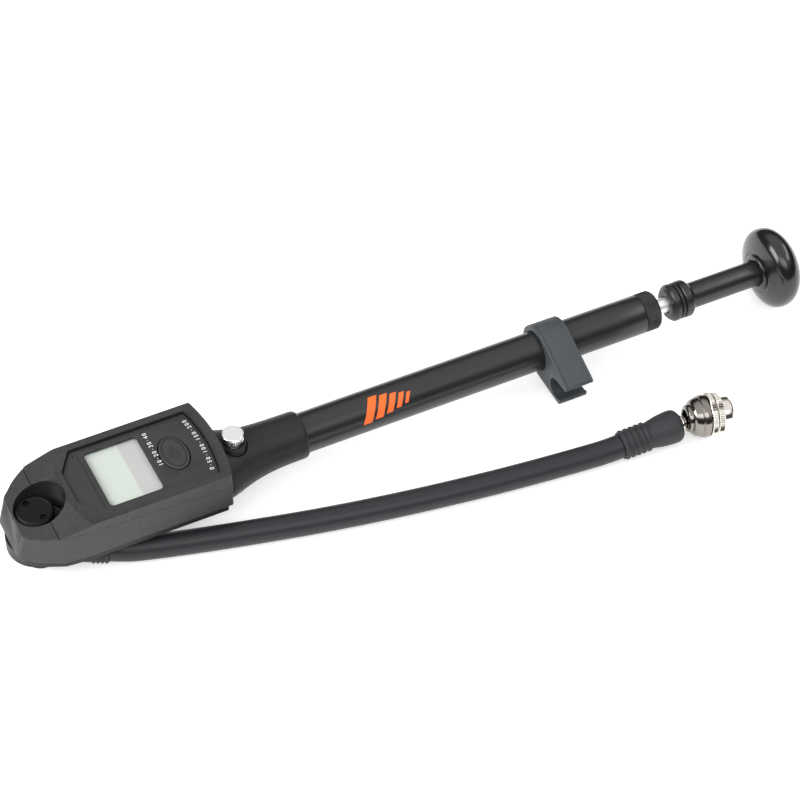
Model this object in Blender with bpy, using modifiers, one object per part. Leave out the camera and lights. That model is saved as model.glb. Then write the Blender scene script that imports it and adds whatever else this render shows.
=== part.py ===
"""High-pressure shock suspension pump with a digital gauge, a swivelling hose and a plunger.

All pieces hang on one empty, the pump frame.  Its +X runs along the barrel from the gauge head
to the knob, its +Z is the gauge's face normal, and its origin lies on the barrel's axis where
the barrel leaves the head.  The frame is placed so that the world's origin is the middle of the
pump's underside.
"""
import math

import bmesh
import bpy
from mathutils import Matrix, Vector

MM = 0.001
GAP = 0.3
RUNNING_GAP = 0.09
TAU = 2.0 * math.pi

# Barrel, along X
BARREL_R = 7.5
BARREL_BORE_R = 6.3
BARREL_START = -16.0
BARREL_END = 139.5
CAP_END = 146.2
ROD_R = 2.95

# Plunger
PISTON_BACK = -9.6
PISTON_FRONT = -4.6
BUMPER_START = 151.5
SHAFT_R = 5.0
SHAFT_END = 193.2
TENON_END = 195.6
KNOB_START = 191.0
KNOB_WIDEST = 199.3
KNOB_R = 15.8
KNOB_END = 207.4
STUD_R = 2.2

# Gauge head
HEAD_HALF_WIDTH = 19.2
HEAD_BOTTOM = -1.6
SEAM_Z = 8.0
HEAD_TOP = 14.1
HEAD_RIGHT_CORNER = -35.2
HEAD_RIGHT_BULGE = 2.5
NOSE_END = -111.8
NOSE_HALF_WIDTH = 9.6
HEAD_WALL = 1.6
FACET_TOP_X = -90.0
FACET_CREASE_X = -98.5
FACET_CREASE_Z = 11.2
FACET_END_Z = 8.3
PANEL_HALF_WIDTH = 16.2
PANEL_FLOOR = 12.1
PANEL_TOP = 13.1
WINDOW_LEFT = -77.7
WINDOW_RIGHT = -58.0
WINDOW_HALF_WIDTH = 13.37
BUTTON_X = -48.9
BUTTON_HALF_X = 5.0
BUTTON_HALF_Y = 8.0
BUTTON_TOP = 13.35

# Swivel at the nose
SWIVEL_X = -100.85
WELL_X = -99.9
WELL_R = 9.5
BOLT_HEAD_R = 6.74
BOLT_HEAD_TOP = 9.1
BOLT_R = 3.5
BOLT_BORE_R = 3.8
BASE_DISC_R = 10.8
BASE_DISC_BOTTOM = -8.0
PLATE_TOP = -1.9
PLATE_BOTTOM = -4.9
SCREW_PLACES = [(-42.0, 12.5), (-42.0, -12.5), (-87.0, 12.5), (-87.0, -12.5)]

# Bleed valve on the neck
BLEED_X = -27.4
BLEED_Y = -2.0
BLEED_TOP = 15.0
BLEED_TRAVEL = 1.3

# Clip on the barrel
CLIP_START = 95.4
CLIP_END = 107.0
CLIP_RING_R = 9.8
CLIP_BORE_R = 7.65
CLIP_REACH = 23.3
SEAT_Y = -16.1
SEAT_Z = -5.2
SEAT_R = 4.05

# Hose, drawn on the table at its full length
HOSE_R = 4.5
HOSE_EXIT_Z = -10.6
HOSE_EXIT_YAW = math.radians(-28.0)
BOOT_START = 11.4
BOOT_END = 24.5
FAR_BOOT_AT = Vector((105.2, -47.5, -10.35))
FAR_BOOT_YAW = math.radians(-3.8)
FAR_BOOT_PITCH = math.radians(5.3)
FAR_BOOT_LENGTH = 24.0
BALL_STATION = 31.8
BALL_R = 2.4
CHUCK_YAW = math.radians(-12.0)
CHUCK_PITCH = math.radians(-1.7)
CHUCK_BORE_R = 4.0

# The hose's own route between its two boots, in the pump frame
HOSE_ROUTE = [
    (-69.9, -15.6, -10.8),
    (-56.2, -19.4, -11.1),
    (-35.6, -24.7, -11.25),
    (-7.7, -31.3, -11.25),
    (21.0, -36.9, -11.25),
    (50.8, -41.6, -11.25),
    (73.9, -44.5, -11.2),
    (94.0, -46.7, -10.95),
]
HOSE_POINTS = 24

# The world's origin is the middle of the underside of the pump's own box
PUMP_FRAME = Vector((
    -(NOSE_END + KNOB_END) / 2.0,
    (CLIP_REACH - HEAD_HALF_WIDTH) / 2.0,
    KNOB_R,
)) * MM

X_AXIS = Vector((1.0, 0.0, 0.0))
Z_AXIS = Vector((0.0, 0.0, 1.0))


# ---------------------------------------------------------------- scene and materials

def clear_scene():
    for item in list(bpy.data.objects):
        bpy.data.objects.remove(item, do_unlink=True)


def make_collection(name):
    collection = bpy.data.collections.new(name)
    bpy.context.scene.collection.children.link(collection)
    return collection


def make_material(name, colour, roughness, metallic=0.0, alpha=1.0):
    material = bpy.data.materials.new(name)
    material.use_nodes = True
    shader = material.node_tree.nodes["Principled BSDF"]
    shader.inputs["Base Color"].default_value = (*colour, 1.0)
    shader.inputs["Roughness"].default_value = roughness
    shader.inputs["Metallic"].default_value = metallic
    shader.inputs["Alpha"].default_value = alpha
    return material


def make_materials():
    return {
        "casing": make_material("casing", (0.075, 0.075, 0.078), 0.55),
        "facia": make_material("facia", (0.055, 0.055, 0.058), 0.5),
        "glass": make_material("glass", (0.85, 0.88, 0.85), 0.08, alpha=0.35),
        "display": make_material("display", (0.62, 0.68, 0.60), 0.4),
        "board": make_material("board", (0.03, 0.16, 0.07), 0.5),
        "steel": make_material("steel", (0.62, 0.62, 0.63), 0.3, 1.0),
        "chrome": make_material("chrome", (0.85, 0.85, 0.86), 0.08, 1.0),
        "nickel": make_material("nickel", (0.80, 0.76, 0.71), 0.16, 1.0),
        "brass": make_material("brass", (0.78, 0.62, 0.33), 0.3, 1.0),
        "anodised": make_material("anodised", (0.018, 0.018, 0.019), 0.35, 0.6),
        "casting": make_material("casting", (0.045, 0.045, 0.048), 0.45, 0.3),
        "gloss": make_material("gloss", (0.012, 0.012, 0.013), 0.12),
        "rubber": make_material("rubber", (0.035, 0.038, 0.045), 0.6),
        "clip_rubber": make_material("clip_rubber", (0.055, 0.065, 0.085), 0.55),
        "nylon": make_material("nylon", (0.75, 0.74, 0.70), 0.5),
    }


# ---------------------------------------------------------------- shape helpers

class Workshop:
    """Holds the collections, the finishes and the pump frame that every piece hangs on."""

    def __init__(self):
        self.parts = make_collection("shock_pump")
        self.cutters = make_collection("cutters")
        self.finishes = make_materials()
        self.frame = bpy.data.objects.new("pump_frame", None)
        self.frame.location = PUMP_FRAME
        self.parts.objects.link(self.frame)

    def add(self, name, mesh, finish=None):
        """Hangs a mesh on the pump frame, as a piece with a finish or as a cutter without."""
        item = bpy.data.objects.new(name, mesh)
        item.parent = self.frame
        if finish is None:
            self.cutters.objects.link(item)
            item.hide_render = True
            item.display_type = "WIRE"
        else:
            self.parts.objects.link(item)
            mesh.materials.append(self.finishes[finish])
        return item


def metres(point):
    return Vector(point) * MM


def signed_area(points):
    total = 0.0
    for (ax, ay), (bx, by) in zip(points, points[1:] + points[:1]):
        total += ax * by - bx * ay
    return total / 2.0


def turned(shop, name, finish, profile, at=(0, 0, 0), along=X_AXIS, steps=16, closed=True):
    """Turns (station, radius) points about the line through at; an open profile ends on it."""
    points = [(radius, station) for station, radius in profile]
    if signed_area(points) > 0.0:
        points.reverse()
    mesh = bpy.data.meshes.new(name)
    vertices = [(radius * MM, 0.0, station * MM) for radius, station in points]
    edges = [(i, i + 1) for i in range(len(points) - 1)]
    if closed:
        edges.append((len(points) - 1, 0))
    mesh.from_pydata(vertices, edges, [])
    item = shop.add(name, mesh, finish)
    item.location = metres(at)
    item.rotation_mode = "QUATERNION"
    item.rotation_quaternion = Vector(along).to_track_quat("Z", "X")
    screw = item.modifiers.new("turn", "SCREW")
    screw.axis = "Z"
    screw.angle = TAU
    screw.steps = steps
    screw.render_steps = steps
    screw.use_merge_vertices = True
    screw.merge_threshold = 0.00001
    screw.use_smooth_shade = True
    return item


def rod(shop, name, finish, start, end, radius, at=(0, 0, 0), along=X_AXIS, sides=20):
    """A plain cylinder between two stations along a line."""
    mesh = bpy.data.meshes.new(name)
    shape = bmesh.new()
    length = (end - start) * MM
    bmesh.ops.create_cone(
        shape, cap_ends=True, cap_tris=False, segments=sides,
        radius1=radius * MM, radius2=radius * MM, depth=length)
    shape.to_mesh(mesh)
    shape.free()
    mesh.shade_smooth()
    mesh.set_sharp_from_angle(angle=math.radians(40))
    item = shop.add(name, mesh, finish)
    direction = Vector(along).normalized()
    item.location = metres(at) + direction * (start + end) / 2.0 * MM
    item.rotation_mode = "QUATERNION"
    item.rotation_quaternion = direction.to_track_quat("Z", "X")
    return item


def block(shop, name, finish, low, high):
    """A box between two corners."""
    mesh = bpy.data.meshes.new(name)
    shape = bmesh.new()
    bmesh.ops.create_cube(shape, size=1.0)
    size = metres(high) - metres(low)
    centre = (metres(high) + metres(low)) / 2.0
    bmesh.ops.scale(shape, vec=size, verts=shape.verts)
    bmesh.ops.translate(shape, vec=centre, verts=shape.verts)
    shape.to_mesh(mesh)
    shape.free()
    return shop.add(name, mesh, finish)


def o_ring(shop, name, ring_radius, section, at, along=X_AXIS, finish="rubber"):
    """A rubber ring round a line."""
    bpy.ops.mesh.primitive_torus_add(
        major_segments=18, minor_segments=6,
        major_radius=ring_radius * MM, minor_radius=section * MM)
    made = bpy.context.object
    mesh = made.data
    bpy.data.objects.remove(made)
    mesh.name = name
    mesh.shade_smooth()
    item = shop.add(name, mesh, finish)
    item.location = metres(at)
    item.rotation_mode = "QUATERNION"
    item.rotation_quaternion = Vector(along).to_track_quat("Z", "X")
    return item


def filleted(corners, segments=4):
    """Rounds a closed polygon given as (x, y, radius) corners."""
    outline = []
    count = len(corners)
    for index, (x, y, radius) in enumerate(corners):
        corner = Vector((x, y))
        if radius <= 0.0:
            outline.append(corner)
            continue
        before = (Vector(corners[index - 1][:2]) - corner).normalized()
        after = (Vector(corners[(index + 1) % count][:2]) - corner).normalized()
        half = before.angle(after) / 2.0
        reach = radius / math.tan(half)
        centre = corner + (before + after).normalized() * (radius / math.sin(half))
        first = corner + before * reach - centre
        last = corner + after * reach - centre
        turn = first.angle_signed(last)
        for step in range(segments + 1):
            spin = Matrix.Rotation(-turn * step / segments, 2)
            outline.append(centre + spin @ first)
    return outline


def oval(centre_x, centre_y, half_x, half_y, points=24):
    ring = []
    for step in range(points):
        angle = TAU * step / points
        ring.append(Vector((centre_x + half_x * math.cos(angle), centre_y + half_y * math.sin(angle))))
    return ring


def arc(centre, radius, start, end, segments):
    """Points on a circle between two angles in degrees, both ends included."""
    points = []
    for step in range(segments + 1):
        angle = math.radians(start + (end - start) * step / segments)
        points.append((centre[0] + radius * math.cos(angle), centre[1] + radius * math.sin(angle)))
    return points


def mesh_from_curve(shop, source, name, finish):
    """Swaps a curve object for the welded mesh of its shape, in the same place."""
    bpy.context.view_layer.update()
    evaluated = source.evaluated_get(bpy.context.evaluated_depsgraph_get())
    mesh = bpy.data.meshes.new_from_object(evaluated)
    mesh.name = name
    shape = bmesh.new()
    shape.from_mesh(mesh)
    bmesh.ops.remove_doubles(shape, verts=shape.verts, dist=0.000001)
    shape.to_mesh(mesh)
    shape.free()
    place = source.matrix_world.copy()
    bpy.data.objects.remove(source)
    mesh.materials.clear()
    item = shop.add(name, mesh, finish)
    item.matrix_world = place
    return item


def outline_solid(shop, name, finish, outlines, low, high):
    """A flat outline, with holes if more than one is given, between two heights."""
    curve = bpy.data.curves.new(name, "CURVE")
    curve.dimensions = "2D"
    curve.fill_mode = "BOTH"
    curve.extrude = (high - low) / 2.0 * MM
    for outline in outlines:
        spline = curve.splines.new("POLY")
        spline.points.add(len(outline) - 1)
        spline.use_cyclic_u = True
        for point, place in zip(spline.points, outline):
            point.co = (place[0] * MM, place[1] * MM, 0.0, 1.0)
    source = bpy.data.objects.new(name + "_outline", curve)
    shop.parts.objects.link(source)
    source.parent = shop.frame
    source.location = (0.0, 0.0, (low + high) / 2.0 * MM)
    return mesh_from_curve(shop, source, name, finish)


def boolean(item, other, operation):
    modifier = item.modifiers.new(operation.lower(), "BOOLEAN")
    modifier.operation = operation
    modifier.solver = "EXACT"
    modifier.object = other


def cut(item, *cutters):
    for cutter in cutters:
        boolean(item, cutter, "DIFFERENCE")


def join(item, *others):
    for other in others:
        boolean(item, other, "UNION")


def loft(shop, name, finish, sections, sides=28):
    """A skin over rounded sections (x, half width, top, bottom) that change along X."""
    mesh = bpy.data.meshes.new(name)
    shape = bmesh.new()
    rings = []
    for x, half_width, top, bottom in sections:
        middle = (top + bottom) / 2.0
        half_height = (top - bottom) / 2.0
        ring = []
        for step in range(sides):
            angle = TAU * step / sides
            place = (x, half_width * math.cos(angle), middle + half_height * math.sin(angle))
            ring.append(shape.verts.new(metres(place)))
        rings.append(ring)
    for near, far in zip(rings, rings[1:]):
        for step in range(sides):
            after = (step + 1) % sides
            shape.faces.new((near[step], near[after], far[after], far[step]))
    shape.faces.new(rings[0])
    shape.faces.new(rings[-1])
    bmesh.ops.recalc_face_normals(shape, faces=shape.faces)
    shape.to_mesh(mesh)
    shape.free()
    mesh.shade_smooth()
    mesh.set_sharp_from_angle(angle=math.radians(40))
    return shop.add(name, mesh, finish)


def spring(shop, name, start, end, coil_radius, wire_radius, turns, at, along):
    """A round-wire compression spring between two stations along a line."""
    curve = bpy.data.curves.new(name, "CURVE")
    curve.dimensions = "3D"
    curve.bevel_depth = wire_radius * MM
    curve.bevel_resolution = 2
    curve.use_fill_caps = True
    count = turns * 8 + 1
    spline = curve.splines.new("POLY")
    spline.points.add(count - 1)
    for step, point in enumerate(spline.points):
        angle = TAU * step / 8.0
        share = step / (count - 1)
        point.co = (
            coil_radius * MM * math.cos(angle),
            coil_radius * MM * math.sin(angle),
            (start + (end - start) * share) * MM,
            1.0)
    source = bpy.data.objects.new(name + "_wire", curve)
    shop.parts.objects.link(source)
    source.parent = shop.frame
    source.location = metres(at)
    source.rotation_mode = "QUATERNION"
    source.rotation_quaternion = Vector(along).to_track_quat("Z", "X")
    return mesh_from_curve(shop, source, name, "steel")


# ---------------------------------------------------------------- directions and places

def heading(yaw, pitch=0.0):
    return Vector((math.cos(pitch) * math.cos(yaw), math.cos(pitch) * math.sin(yaw), math.sin(pitch)))


HOSE_EXIT = Vector((SWIVEL_X, 0.0, HOSE_EXIT_Z))
HOSE_EXIT_ALONG = heading(HOSE_EXIT_YAW)
FAR_ALONG = heading(FAR_BOOT_YAW, FAR_BOOT_PITCH)
BALL_CENTRE = FAR_BOOT_AT + FAR_ALONG * BALL_STATION
CHUCK_ALONG = heading(CHUCK_YAW, CHUCK_PITCH)


def head_outline(inset=0.0):
    """The gauge head seen from above: a bowed right end, straight sides and a chamfered nose."""
    half = HEAD_HALF_WIDTH - inset
    right = HEAD_RIGHT_CORNER - inset
    bulge = HEAD_RIGHT_BULGE
    steps = 8
    outline = []
    for step in range(steps + 1):
        share = -1.0 + 2.0 * step / steps
        outline.append((right + bulge * (1.0 - share * share), half * share, 0.0))
    nose = NOSE_END + inset
    flat = NOSE_HALF_WIDTH - inset * 0.4
    outline += [
        (-88.0, half, 0.0),
        (-97.5 + inset * 0.5, half - 0.9, 6.0),
        (nose, flat, 3.0),
        (nose, -flat, 3.0),
        (-97.5 + inset * 0.5, -half + 0.9, 6.0),
        (-88.0, -half, 0.0),
    ]
    return filleted(outline)


def panel_outline(inset=0.0):
    """The sunk instrument panel: bowed right end and a clipped left end."""
    half = PANEL_HALF_WIDTH - inset
    right = -38.4 - inset
    left = -87.7 + inset
    steps = 8
    outline = []
    for step in range(steps + 1):
        share = -1.0 + 2.0 * step / steps
        outline.append((right + 2.0 * (1.0 - share * share), half * share, 0.0))
    outline += [
        (-82.2 + inset * 0.5, half, 1.5),
        (left, 7.6, 2.0),
        (left, -7.6, 2.0),
        (-82.2 + inset * 0.5, -half, 1.5),
    ]
    return filleted(outline)


def window_outline(grow=0.0, radius=2.0):
    half = WINDOW_HALF_WIDTH + grow
    left = WINDOW_LEFT - grow
    right = WINDOW_RIGHT + grow
    return filleted([
        (right, -half, radius), (right, half, radius), (left, half, radius), (left, -half, radius)])


# ---------------------------------------------------------------- barrel and cap

def build_barrel(shop):
    turned(shop, "barrel_tube", "anodised", [
        (BARREL_END, BARREL_R), (BARREL_START, BARREL_R),
        (BARREL_START, BARREL_BORE_R), (BARREL_END, BARREL_BORE_R)], steps=32)
    spigot = BARREL_BORE_R - GAP
    turned(shop, "end_cap", "anodised", [
        (CAP_END, 6.5), (CAP_END - 0.3, 7.1), (CAP_END - 1.1, 7.45), (BARREL_END + GAP, 7.45),
        (BARREL_END + GAP, spigot), (134.5, spigot), (134.5, 5.35), (142.6, 5.35),
        (142.6, 3.35), (CAP_END, 3.35)], steps=32)
    turned(shop, "rod_bushing", "nylon", [
        (139.4, 5.05), (134.8, 5.05), (134.8, ROD_R + RUNNING_GAP), (139.4, ROD_R + RUNNING_GAP)])
    turned(shop, "rod_wiper", "rubber", [
        (142.3, 5.05), (139.7, 5.05), (139.7, ROD_R + RUNNING_GAP), (142.3, ROD_R + RUNNING_GAP)])
    o_ring(shop, "barrel_seal", 6.6, 0.9, (-17.3, 0, 0))


def build_check_valve(shop):
    turned(shop, "check_valve_seat", "brass", [
        (-18.9, 2.7), (-19.7, 2.7), (-19.7, 1.0), (-18.9, 1.0)])
    bpy.ops.mesh.primitive_uv_sphere_add(segments=14, ring_count=8, radius=1.5 * MM)
    made = bpy.context.object
    mesh = made.data
    bpy.data.objects.remove(made)
    mesh.shade_smooth()
    ball = shop.add("check_valve_ball", mesh, "steel")
    ball.location = metres((-21.3, 0, 0))
    spring(shop, "check_valve_spring", -23.8, -23.1, 1.3, 0.15, 2, (0, 0, 0), X_AXIS)


# ---------------------------------------------------------------- pump head casting

def build_pump_head(shop):
    """Neck, base plate and nose boss in one casting, bored for the barrel and the air."""
    head = loft(shop, "pump_head", "casting", [
        (-0.5, 8.0, 8.0, -8.0), (-1.2, 8.6, 8.6, -8.6), (-2.4, 8.9, 8.9, -8.9),
        (-8.0, 9.0, 9.0, -9.0), (-14.0, 9.2, 9.1, -9.5), (-20.0, 9.9, 9.2, -10.4),
        (-25.0, 11.2, 9.4, -11.2), (-29.0, 12.8, 9.8, -11.6), (-33.0, 14.2, 10.2, -11.6),
        (-38.0, 14.2, 9.0, -10.2), (-43.0, 12.6, 5.0, -7.6), (-47.0, 9.0, 1.0, -5.2)])
    outline = head_outline(1.2)
    plate = outline_solid(shop, "base_plate_blank", None, [outline], PLATE_BOTTOM, PLATE_TOP)
    disc = rod(shop, "base_disc_blank", None, BASE_DISC_BOTTOM, PLATE_TOP - 0.3, BASE_DISC_R,
               at=(SWIVEL_X, 0, 0), along=Z_AXIS, sides=32)
    column = rod(shop, "bolt_column_blank", None, PLATE_BOTTOM + 0.5, 5.4, 6.0,
                 at=(SWIVEL_X, 0, 0), along=Z_AXIS, sides=28)
    room = outline_solid(shop, "gauge_room_cutter", None, [head_outline(-GAP)], PLATE_TOP - 0.1, 30.0)
    cut(head, room)
    join(head, plate, disc, column)
    cut(head,
        rod(shop, "barrel_socket_cutter", None, -18.6, 5.0, BARREL_R + GAP, sides=32),
        rod(shop, "valve_pocket_cutter", None, -24.1, -18.0, 3.0),
        rod(shop, "barrel_air_cutter", None, -27.4, -23.5, 0.9, sides=12),
        rod(shop, "bleed_well_cutter", None, -3.4, 20.0, 2.9,
            at=(BLEED_X, BLEED_Y, 0), along=Z_AXIS, sides=20),
        rod(shop, "bleed_seat_cutter", None, 6.9, 20.0, 5.1,
            at=(BLEED_X, BLEED_Y, 0), along=Z_AXIS, sides=20),
        rod(shop, "head_air_cutter", None, SWIVEL_X, BLEED_X, 1.1, at=(0, -2.6, -3.4), sides=16),
        rod(shop, "bolt_bore_cutter", None, -20.0, 20.0, BOLT_BORE_R,
            at=(SWIVEL_X, 0, 0), along=Z_AXIS, sides=28),
        rod(shop, "sensor_port_cutter", None, -3.4, 0.0, 1.0, at=(-45.0, -2.6, 0), along=Z_AXIS, sides=16))
    for number, (x, y) in enumerate(SCREW_PLACES, start=1):
        cut(head,
            rod(shop, f"screw_hole_cutter_{number}", None, -10.0, 0.0, 1.4,
                at=(x, y, 0), along=Z_AXIS, sides=16),
            rod(shop, f"screw_head_cutter_{number}", None, -20.0, -3.4, 2.5,
                at=(x, y, 0), along=Z_AXIS, sides=24))


def build_screws(shop):
    """The four screws that hold the gauge to the casting, each in its own node."""
    for number, (x, y) in enumerate(SCREW_PLACES, start=1):
        screw = turned(shop, f"housing_screw_{number}", "steel", [
            (3.2, 0.0), (3.2, 0.9), (-3.7, 0.9), (-3.7, 2.1), (-4.7, 2.1), (-4.7, 0.0)],
            at=(x, y, 0), along=Z_AXIS, steps=12, closed=False)
        slot = rod(shop, f"screw_hex_cutter_{number}", None, -6.0, -4.0, 1.0,
                   at=(x, y, 0), along=Z_AXIS, sides=6)
        cut(screw, slot)


# ---------------------------------------------------------------- gauge

def build_housing(shop):
    """Lower shell of the gauge: a tray with four screw pillars and a hole for the bolt column."""
    tray = outline_solid(shop, "gauge_housing", "casing", [head_outline()], HEAD_BOTTOM, SEAM_Z - GAP / 2)
    hollow = outline_solid(shop, "housing_hollow_cutter", None, [head_outline(HEAD_WALL)], 0.2, 30.0)
    cut(tray, hollow)
    for number, (x, y) in enumerate(SCREW_PLACES, start=1):
        join(tray, rod(shop, f"pillar_blank_{number}", None, -1.0, 5.0, 2.5,
                       at=(x, y, 0), along=Z_AXIS, sides=24))
    for number, (x, y) in enumerate(SCREW_PLACES, start=1):
        cut(tray, rod(shop, f"pillar_bore_cutter_{number}", None, -5.0, 3.6, 1.2,
                      at=(x, y, 0), along=Z_AXIS, sides=16))
    cut(tray,
        rod(shop, "column_hole_cutter", None, -5.0, 5.0, 6.3, at=(SWIVEL_X, 0, 0), along=Z_AXIS, sides=28),
        rod(shop, "sensor_hole_cutter", None, -5.0, 5.0, 1.8, at=(-45.0, -2.6, 0), along=Z_AXIS, sides=20))


def facet_cutter(shop, name, near, far):
    """A wedge that takes away what lies above the line from near to far, given as (x, z)."""
    run = Vector((far[0] - near[0], far[1] - near[1]))
    length = run.length
    tilt = math.atan2(near[1] - far[1], near[0] - far[0])
    wedge = block(shop, name, None, (-length - 40.0, -30.0, 0.0), (0.0, 30.0, 40.0))
    wedge.rotation_euler = (0.0, -tilt, 0.0)
    wedge.location = metres((near[0], 0.0, near[1]))
    return wedge


def build_cover(shop):
    """Upper shell of the gauge: raised bezel, faceted nose and the well over the swivel bolt."""
    cover = outline_solid(shop, "gauge_cover", "casing", [head_outline(0.15)], SEAM_Z + GAP / 2, HEAD_TOP)
    collar = rod(shop, "well_collar_blank", None, 0.6, 11.0, WELL_R + 0.2,
                 at=(WELL_X, 0, 0), along=Z_AXIS, sides=32)
    join(cover, collar)
    inner = filleted([(-37.4, -17.3, 1.0), (-37.4, 17.3, 1.0), (-86.5, 17.3, 1.0), (-86.5, -17.3, 1.0)])
    cut(cover,
        facet_cutter(shop, "front_facet_cutter", (FACET_TOP_X, HEAD_TOP), (FACET_CREASE_X, FACET_CREASE_Z)),
        facet_cutter(shop, "nose_facet_cutter", (FACET_CREASE_X, FACET_CREASE_Z), (NOSE_END, FACET_END_Z)),
        outline_solid(shop, "cover_hollow_cutter", None, [inner], -5.0, 11.0),
        outline_solid(shop, "panel_recess_cutter", None, [panel_outline()], PANEL_FLOOR, 30.0),
        outline_solid(shop, "window_cutter", None, [window_outline(0.6)], 5.0, 30.0),
        outline_solid(shop, "button_hole_cutter", None,
                      [oval(BUTTON_X, 0.0, BUTTON_HALF_X + 0.6, BUTTON_HALF_Y + 0.6)], 5.0, 30.0),
        rod(shop, "well_cutter", None, -5.0, 30.0, WELL_R - 0.5, at=(WELL_X, 0, 0), along=Z_AXIS, sides=32))


def build_panel(shop):
    outline_solid(shop, "facia_panel", "facia", [
        panel_outline(0.3), window_outline(), oval(BUTTON_X, 0.0, BUTTON_HALF_X + 0.3, BUTTON_HALF_Y + 0.3)],
        PANEL_FLOOR + 0.2, PANEL_TOP)
    outline_solid(shop, "display_lens", "glass", [window_outline(-0.3, 1.8)], 12.0, 12.8)
    outline_solid(shop, "display_module", "display", [window_outline(0.2)], 9.6, 11.6)
    button = outline_solid(shop, "power_button", "facia", [
        oval(BUTTON_X, 0.0, BUTTON_HALF_X, BUTTON_HALF_Y)], 11.5, BUTTON_TOP)
    rounding = button.modifiers.new("edge", "BEVEL")
    rounding.width = 0.25 * MM
    rounding.segments = 1
    rounding.limit_method = "ANGLE"
    rounding.angle_limit = math.radians(60)


def build_electronics(shop):
    board = filleted([(-38.6, -15.9, 1.5), (-38.6, 15.9, 1.5), (-85.6, 15.9, 1.5), (-85.6, -15.9, 1.5)])
    outline_solid(shop, "circuit_board", "board", [board], 7.9, 9.2)
    block(shop, "button_switch", "steel", (BUTTON_X - 3.0, -3.0, 9.5), (BUTTON_X + 3.0, 3.0, 10.9))
    rod(shop, "coin_battery", "steel", 0.9, 4.1, 10.0, at=(-70.0, 0, 0), along=Z_AXIS, sides=32)
    frame = filleted([(-57.5, -12.4, 1.0), (-57.5, 12.4, 1.0), (-82.5, 12.4, 1.0), (-82.5, -12.4, 1.0)])
    outline_solid(shop, "battery_holder", "nylon", [frame, oval(-70.0, 0.0, 10.4, 10.4)], 0.6, 5.2)
    turned(shop, "pressure_sensor", "steel", [
        (7.4, 0.0), (7.4, 3.4), (1.5, 3.4), (1.5, 1.2), (-1.5, 1.2), (-1.5, 0.0)],
        at=(-45.0, -2.6, 0), along=Z_AXIS, steps=24, closed=False)
    o_ring(shop, "sensor_seal", 2.2, 0.45, (-45.0, -2.6, 0.85), Z_AXIS)


# ---------------------------------------------------------------- bleed valve

def build_bleed_valve(shop):
    place = (BLEED_X, BLEED_Y, 0)
    turned(shop, "bleed_boss", "casting", [
        (10.9, 4.4), (10.6, 4.8), (9.3, 4.8), (9.1, 4.1), (8.8, 4.1), (8.6, 4.5), (7.2, 4.5),
        (7.2, 2.5), (3.3, 2.5), (3.3, 1.8), (8.3, 1.8), (8.3, 3.6), (10.9, 3.6)],
        at=place, along=Z_AXIS, steps=24)
    under = BLEED_TOP - 2.7
    turned(shop, "bleed_button", "chrome", [
        (BLEED_TOP, 0.0), (BLEED_TOP, 3.55), (BLEED_TOP - 0.4, 3.95), (under, 3.95), (under, 1.5),
        (2.6, 1.5), (2.6, 0.7), (0.0, 0.7), (0.0, 0.0)],
        at=place, along=Z_AXIS, steps=24, closed=False)
    turned(shop, "bleed_seal", "rubber", [
        (2.3, 2.3), (0.7, 2.3), (0.7, 1.0), (2.3, 1.0)], at=place, along=Z_AXIS)
    spring(shop, "bleed_spring", 8.9, under - 0.6, 2.6, 0.28, 4, place, Z_AXIS)


# ---------------------------------------------------------------- swivel at the nose

def build_swivel(shop):
    bolt = turned(shop, "swivel_bolt", "casting", [
        (BOLT_HEAD_TOP, 0.0), (BOLT_HEAD_TOP, BOLT_HEAD_R - 0.4), (BOLT_HEAD_TOP - 0.4, BOLT_HEAD_R),
        (5.7, BOLT_HEAD_R), (5.7, BOLT_R), (-14.6, BOLT_R), (-14.6, 0.0)],
        at=(SWIVEL_X, 0, 0), along=Z_AXIS, steps=24, closed=False)
    for side, sign in (("a", 1.0), ("b", -1.0)):
        place = (SWIVEL_X - sign * 1.7, sign * 4.1, 0)
        cut(bolt, rod(shop, f"spanner_hole_cutter_{side}", None, BOLT_HEAD_TOP - 1.4, BOLT_HEAD_TOP + 5.0,
                      1.35, at=place, along=Z_AXIS, sides=20))
    turned(shop, "swivel_nut", "casting", [
        (-14.9, 0.0), (-14.9, BOLT_BORE_R), (-13.9, BOLT_BORE_R), (-13.9, 6.0), (-15.5, 6.0),
        (-KNOB_R, 5.7), (-KNOB_R, 0.0)], at=(SWIVEL_X, 0, 0), along=Z_AXIS, steps=24, closed=False)
    place = (SWIVEL_X, 0, 0)
    union = turned(shop, "hose_union", "casting", [
        (-8.3, 6.5), (-13.6, 6.5), (-13.6, 5.4), (-12.3, 5.4), (-12.3, BOLT_BORE_R), (-9.6, BOLT_BORE_R),
        (-9.6, 5.4), (-8.3, 5.4)], at=place, along=Z_AXIS, steps=32)
    join(union,
         rod(shop, "union_arm_blank", None, 5.9, BOOT_START - GAP, 2.6, at=HOSE_EXIT, along=HOSE_EXIT_ALONG),
         rod(shop, "union_barb_blank", None, BOOT_START - 1.0, 22.0, 1.9, at=HOSE_EXIT, along=HOSE_EXIT_ALONG,
             sides=24))
    cut(union, rod(shop, "union_air_cutter", None, 2.0, 25.0, 1.0,
                   at=HOSE_EXIT, along=HOSE_EXIT_ALONG, sides=16))
    o_ring(shop, "swivel_seal_upper", 4.6, 0.45, (SWIVEL_X, 0, -8.95), Z_AXIS)
    o_ring(shop, "swivel_seal_lower", 4.6, 0.45, (SWIVEL_X, 0, -12.95), Z_AXIS)


# ---------------------------------------------------------------- plunger

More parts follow.
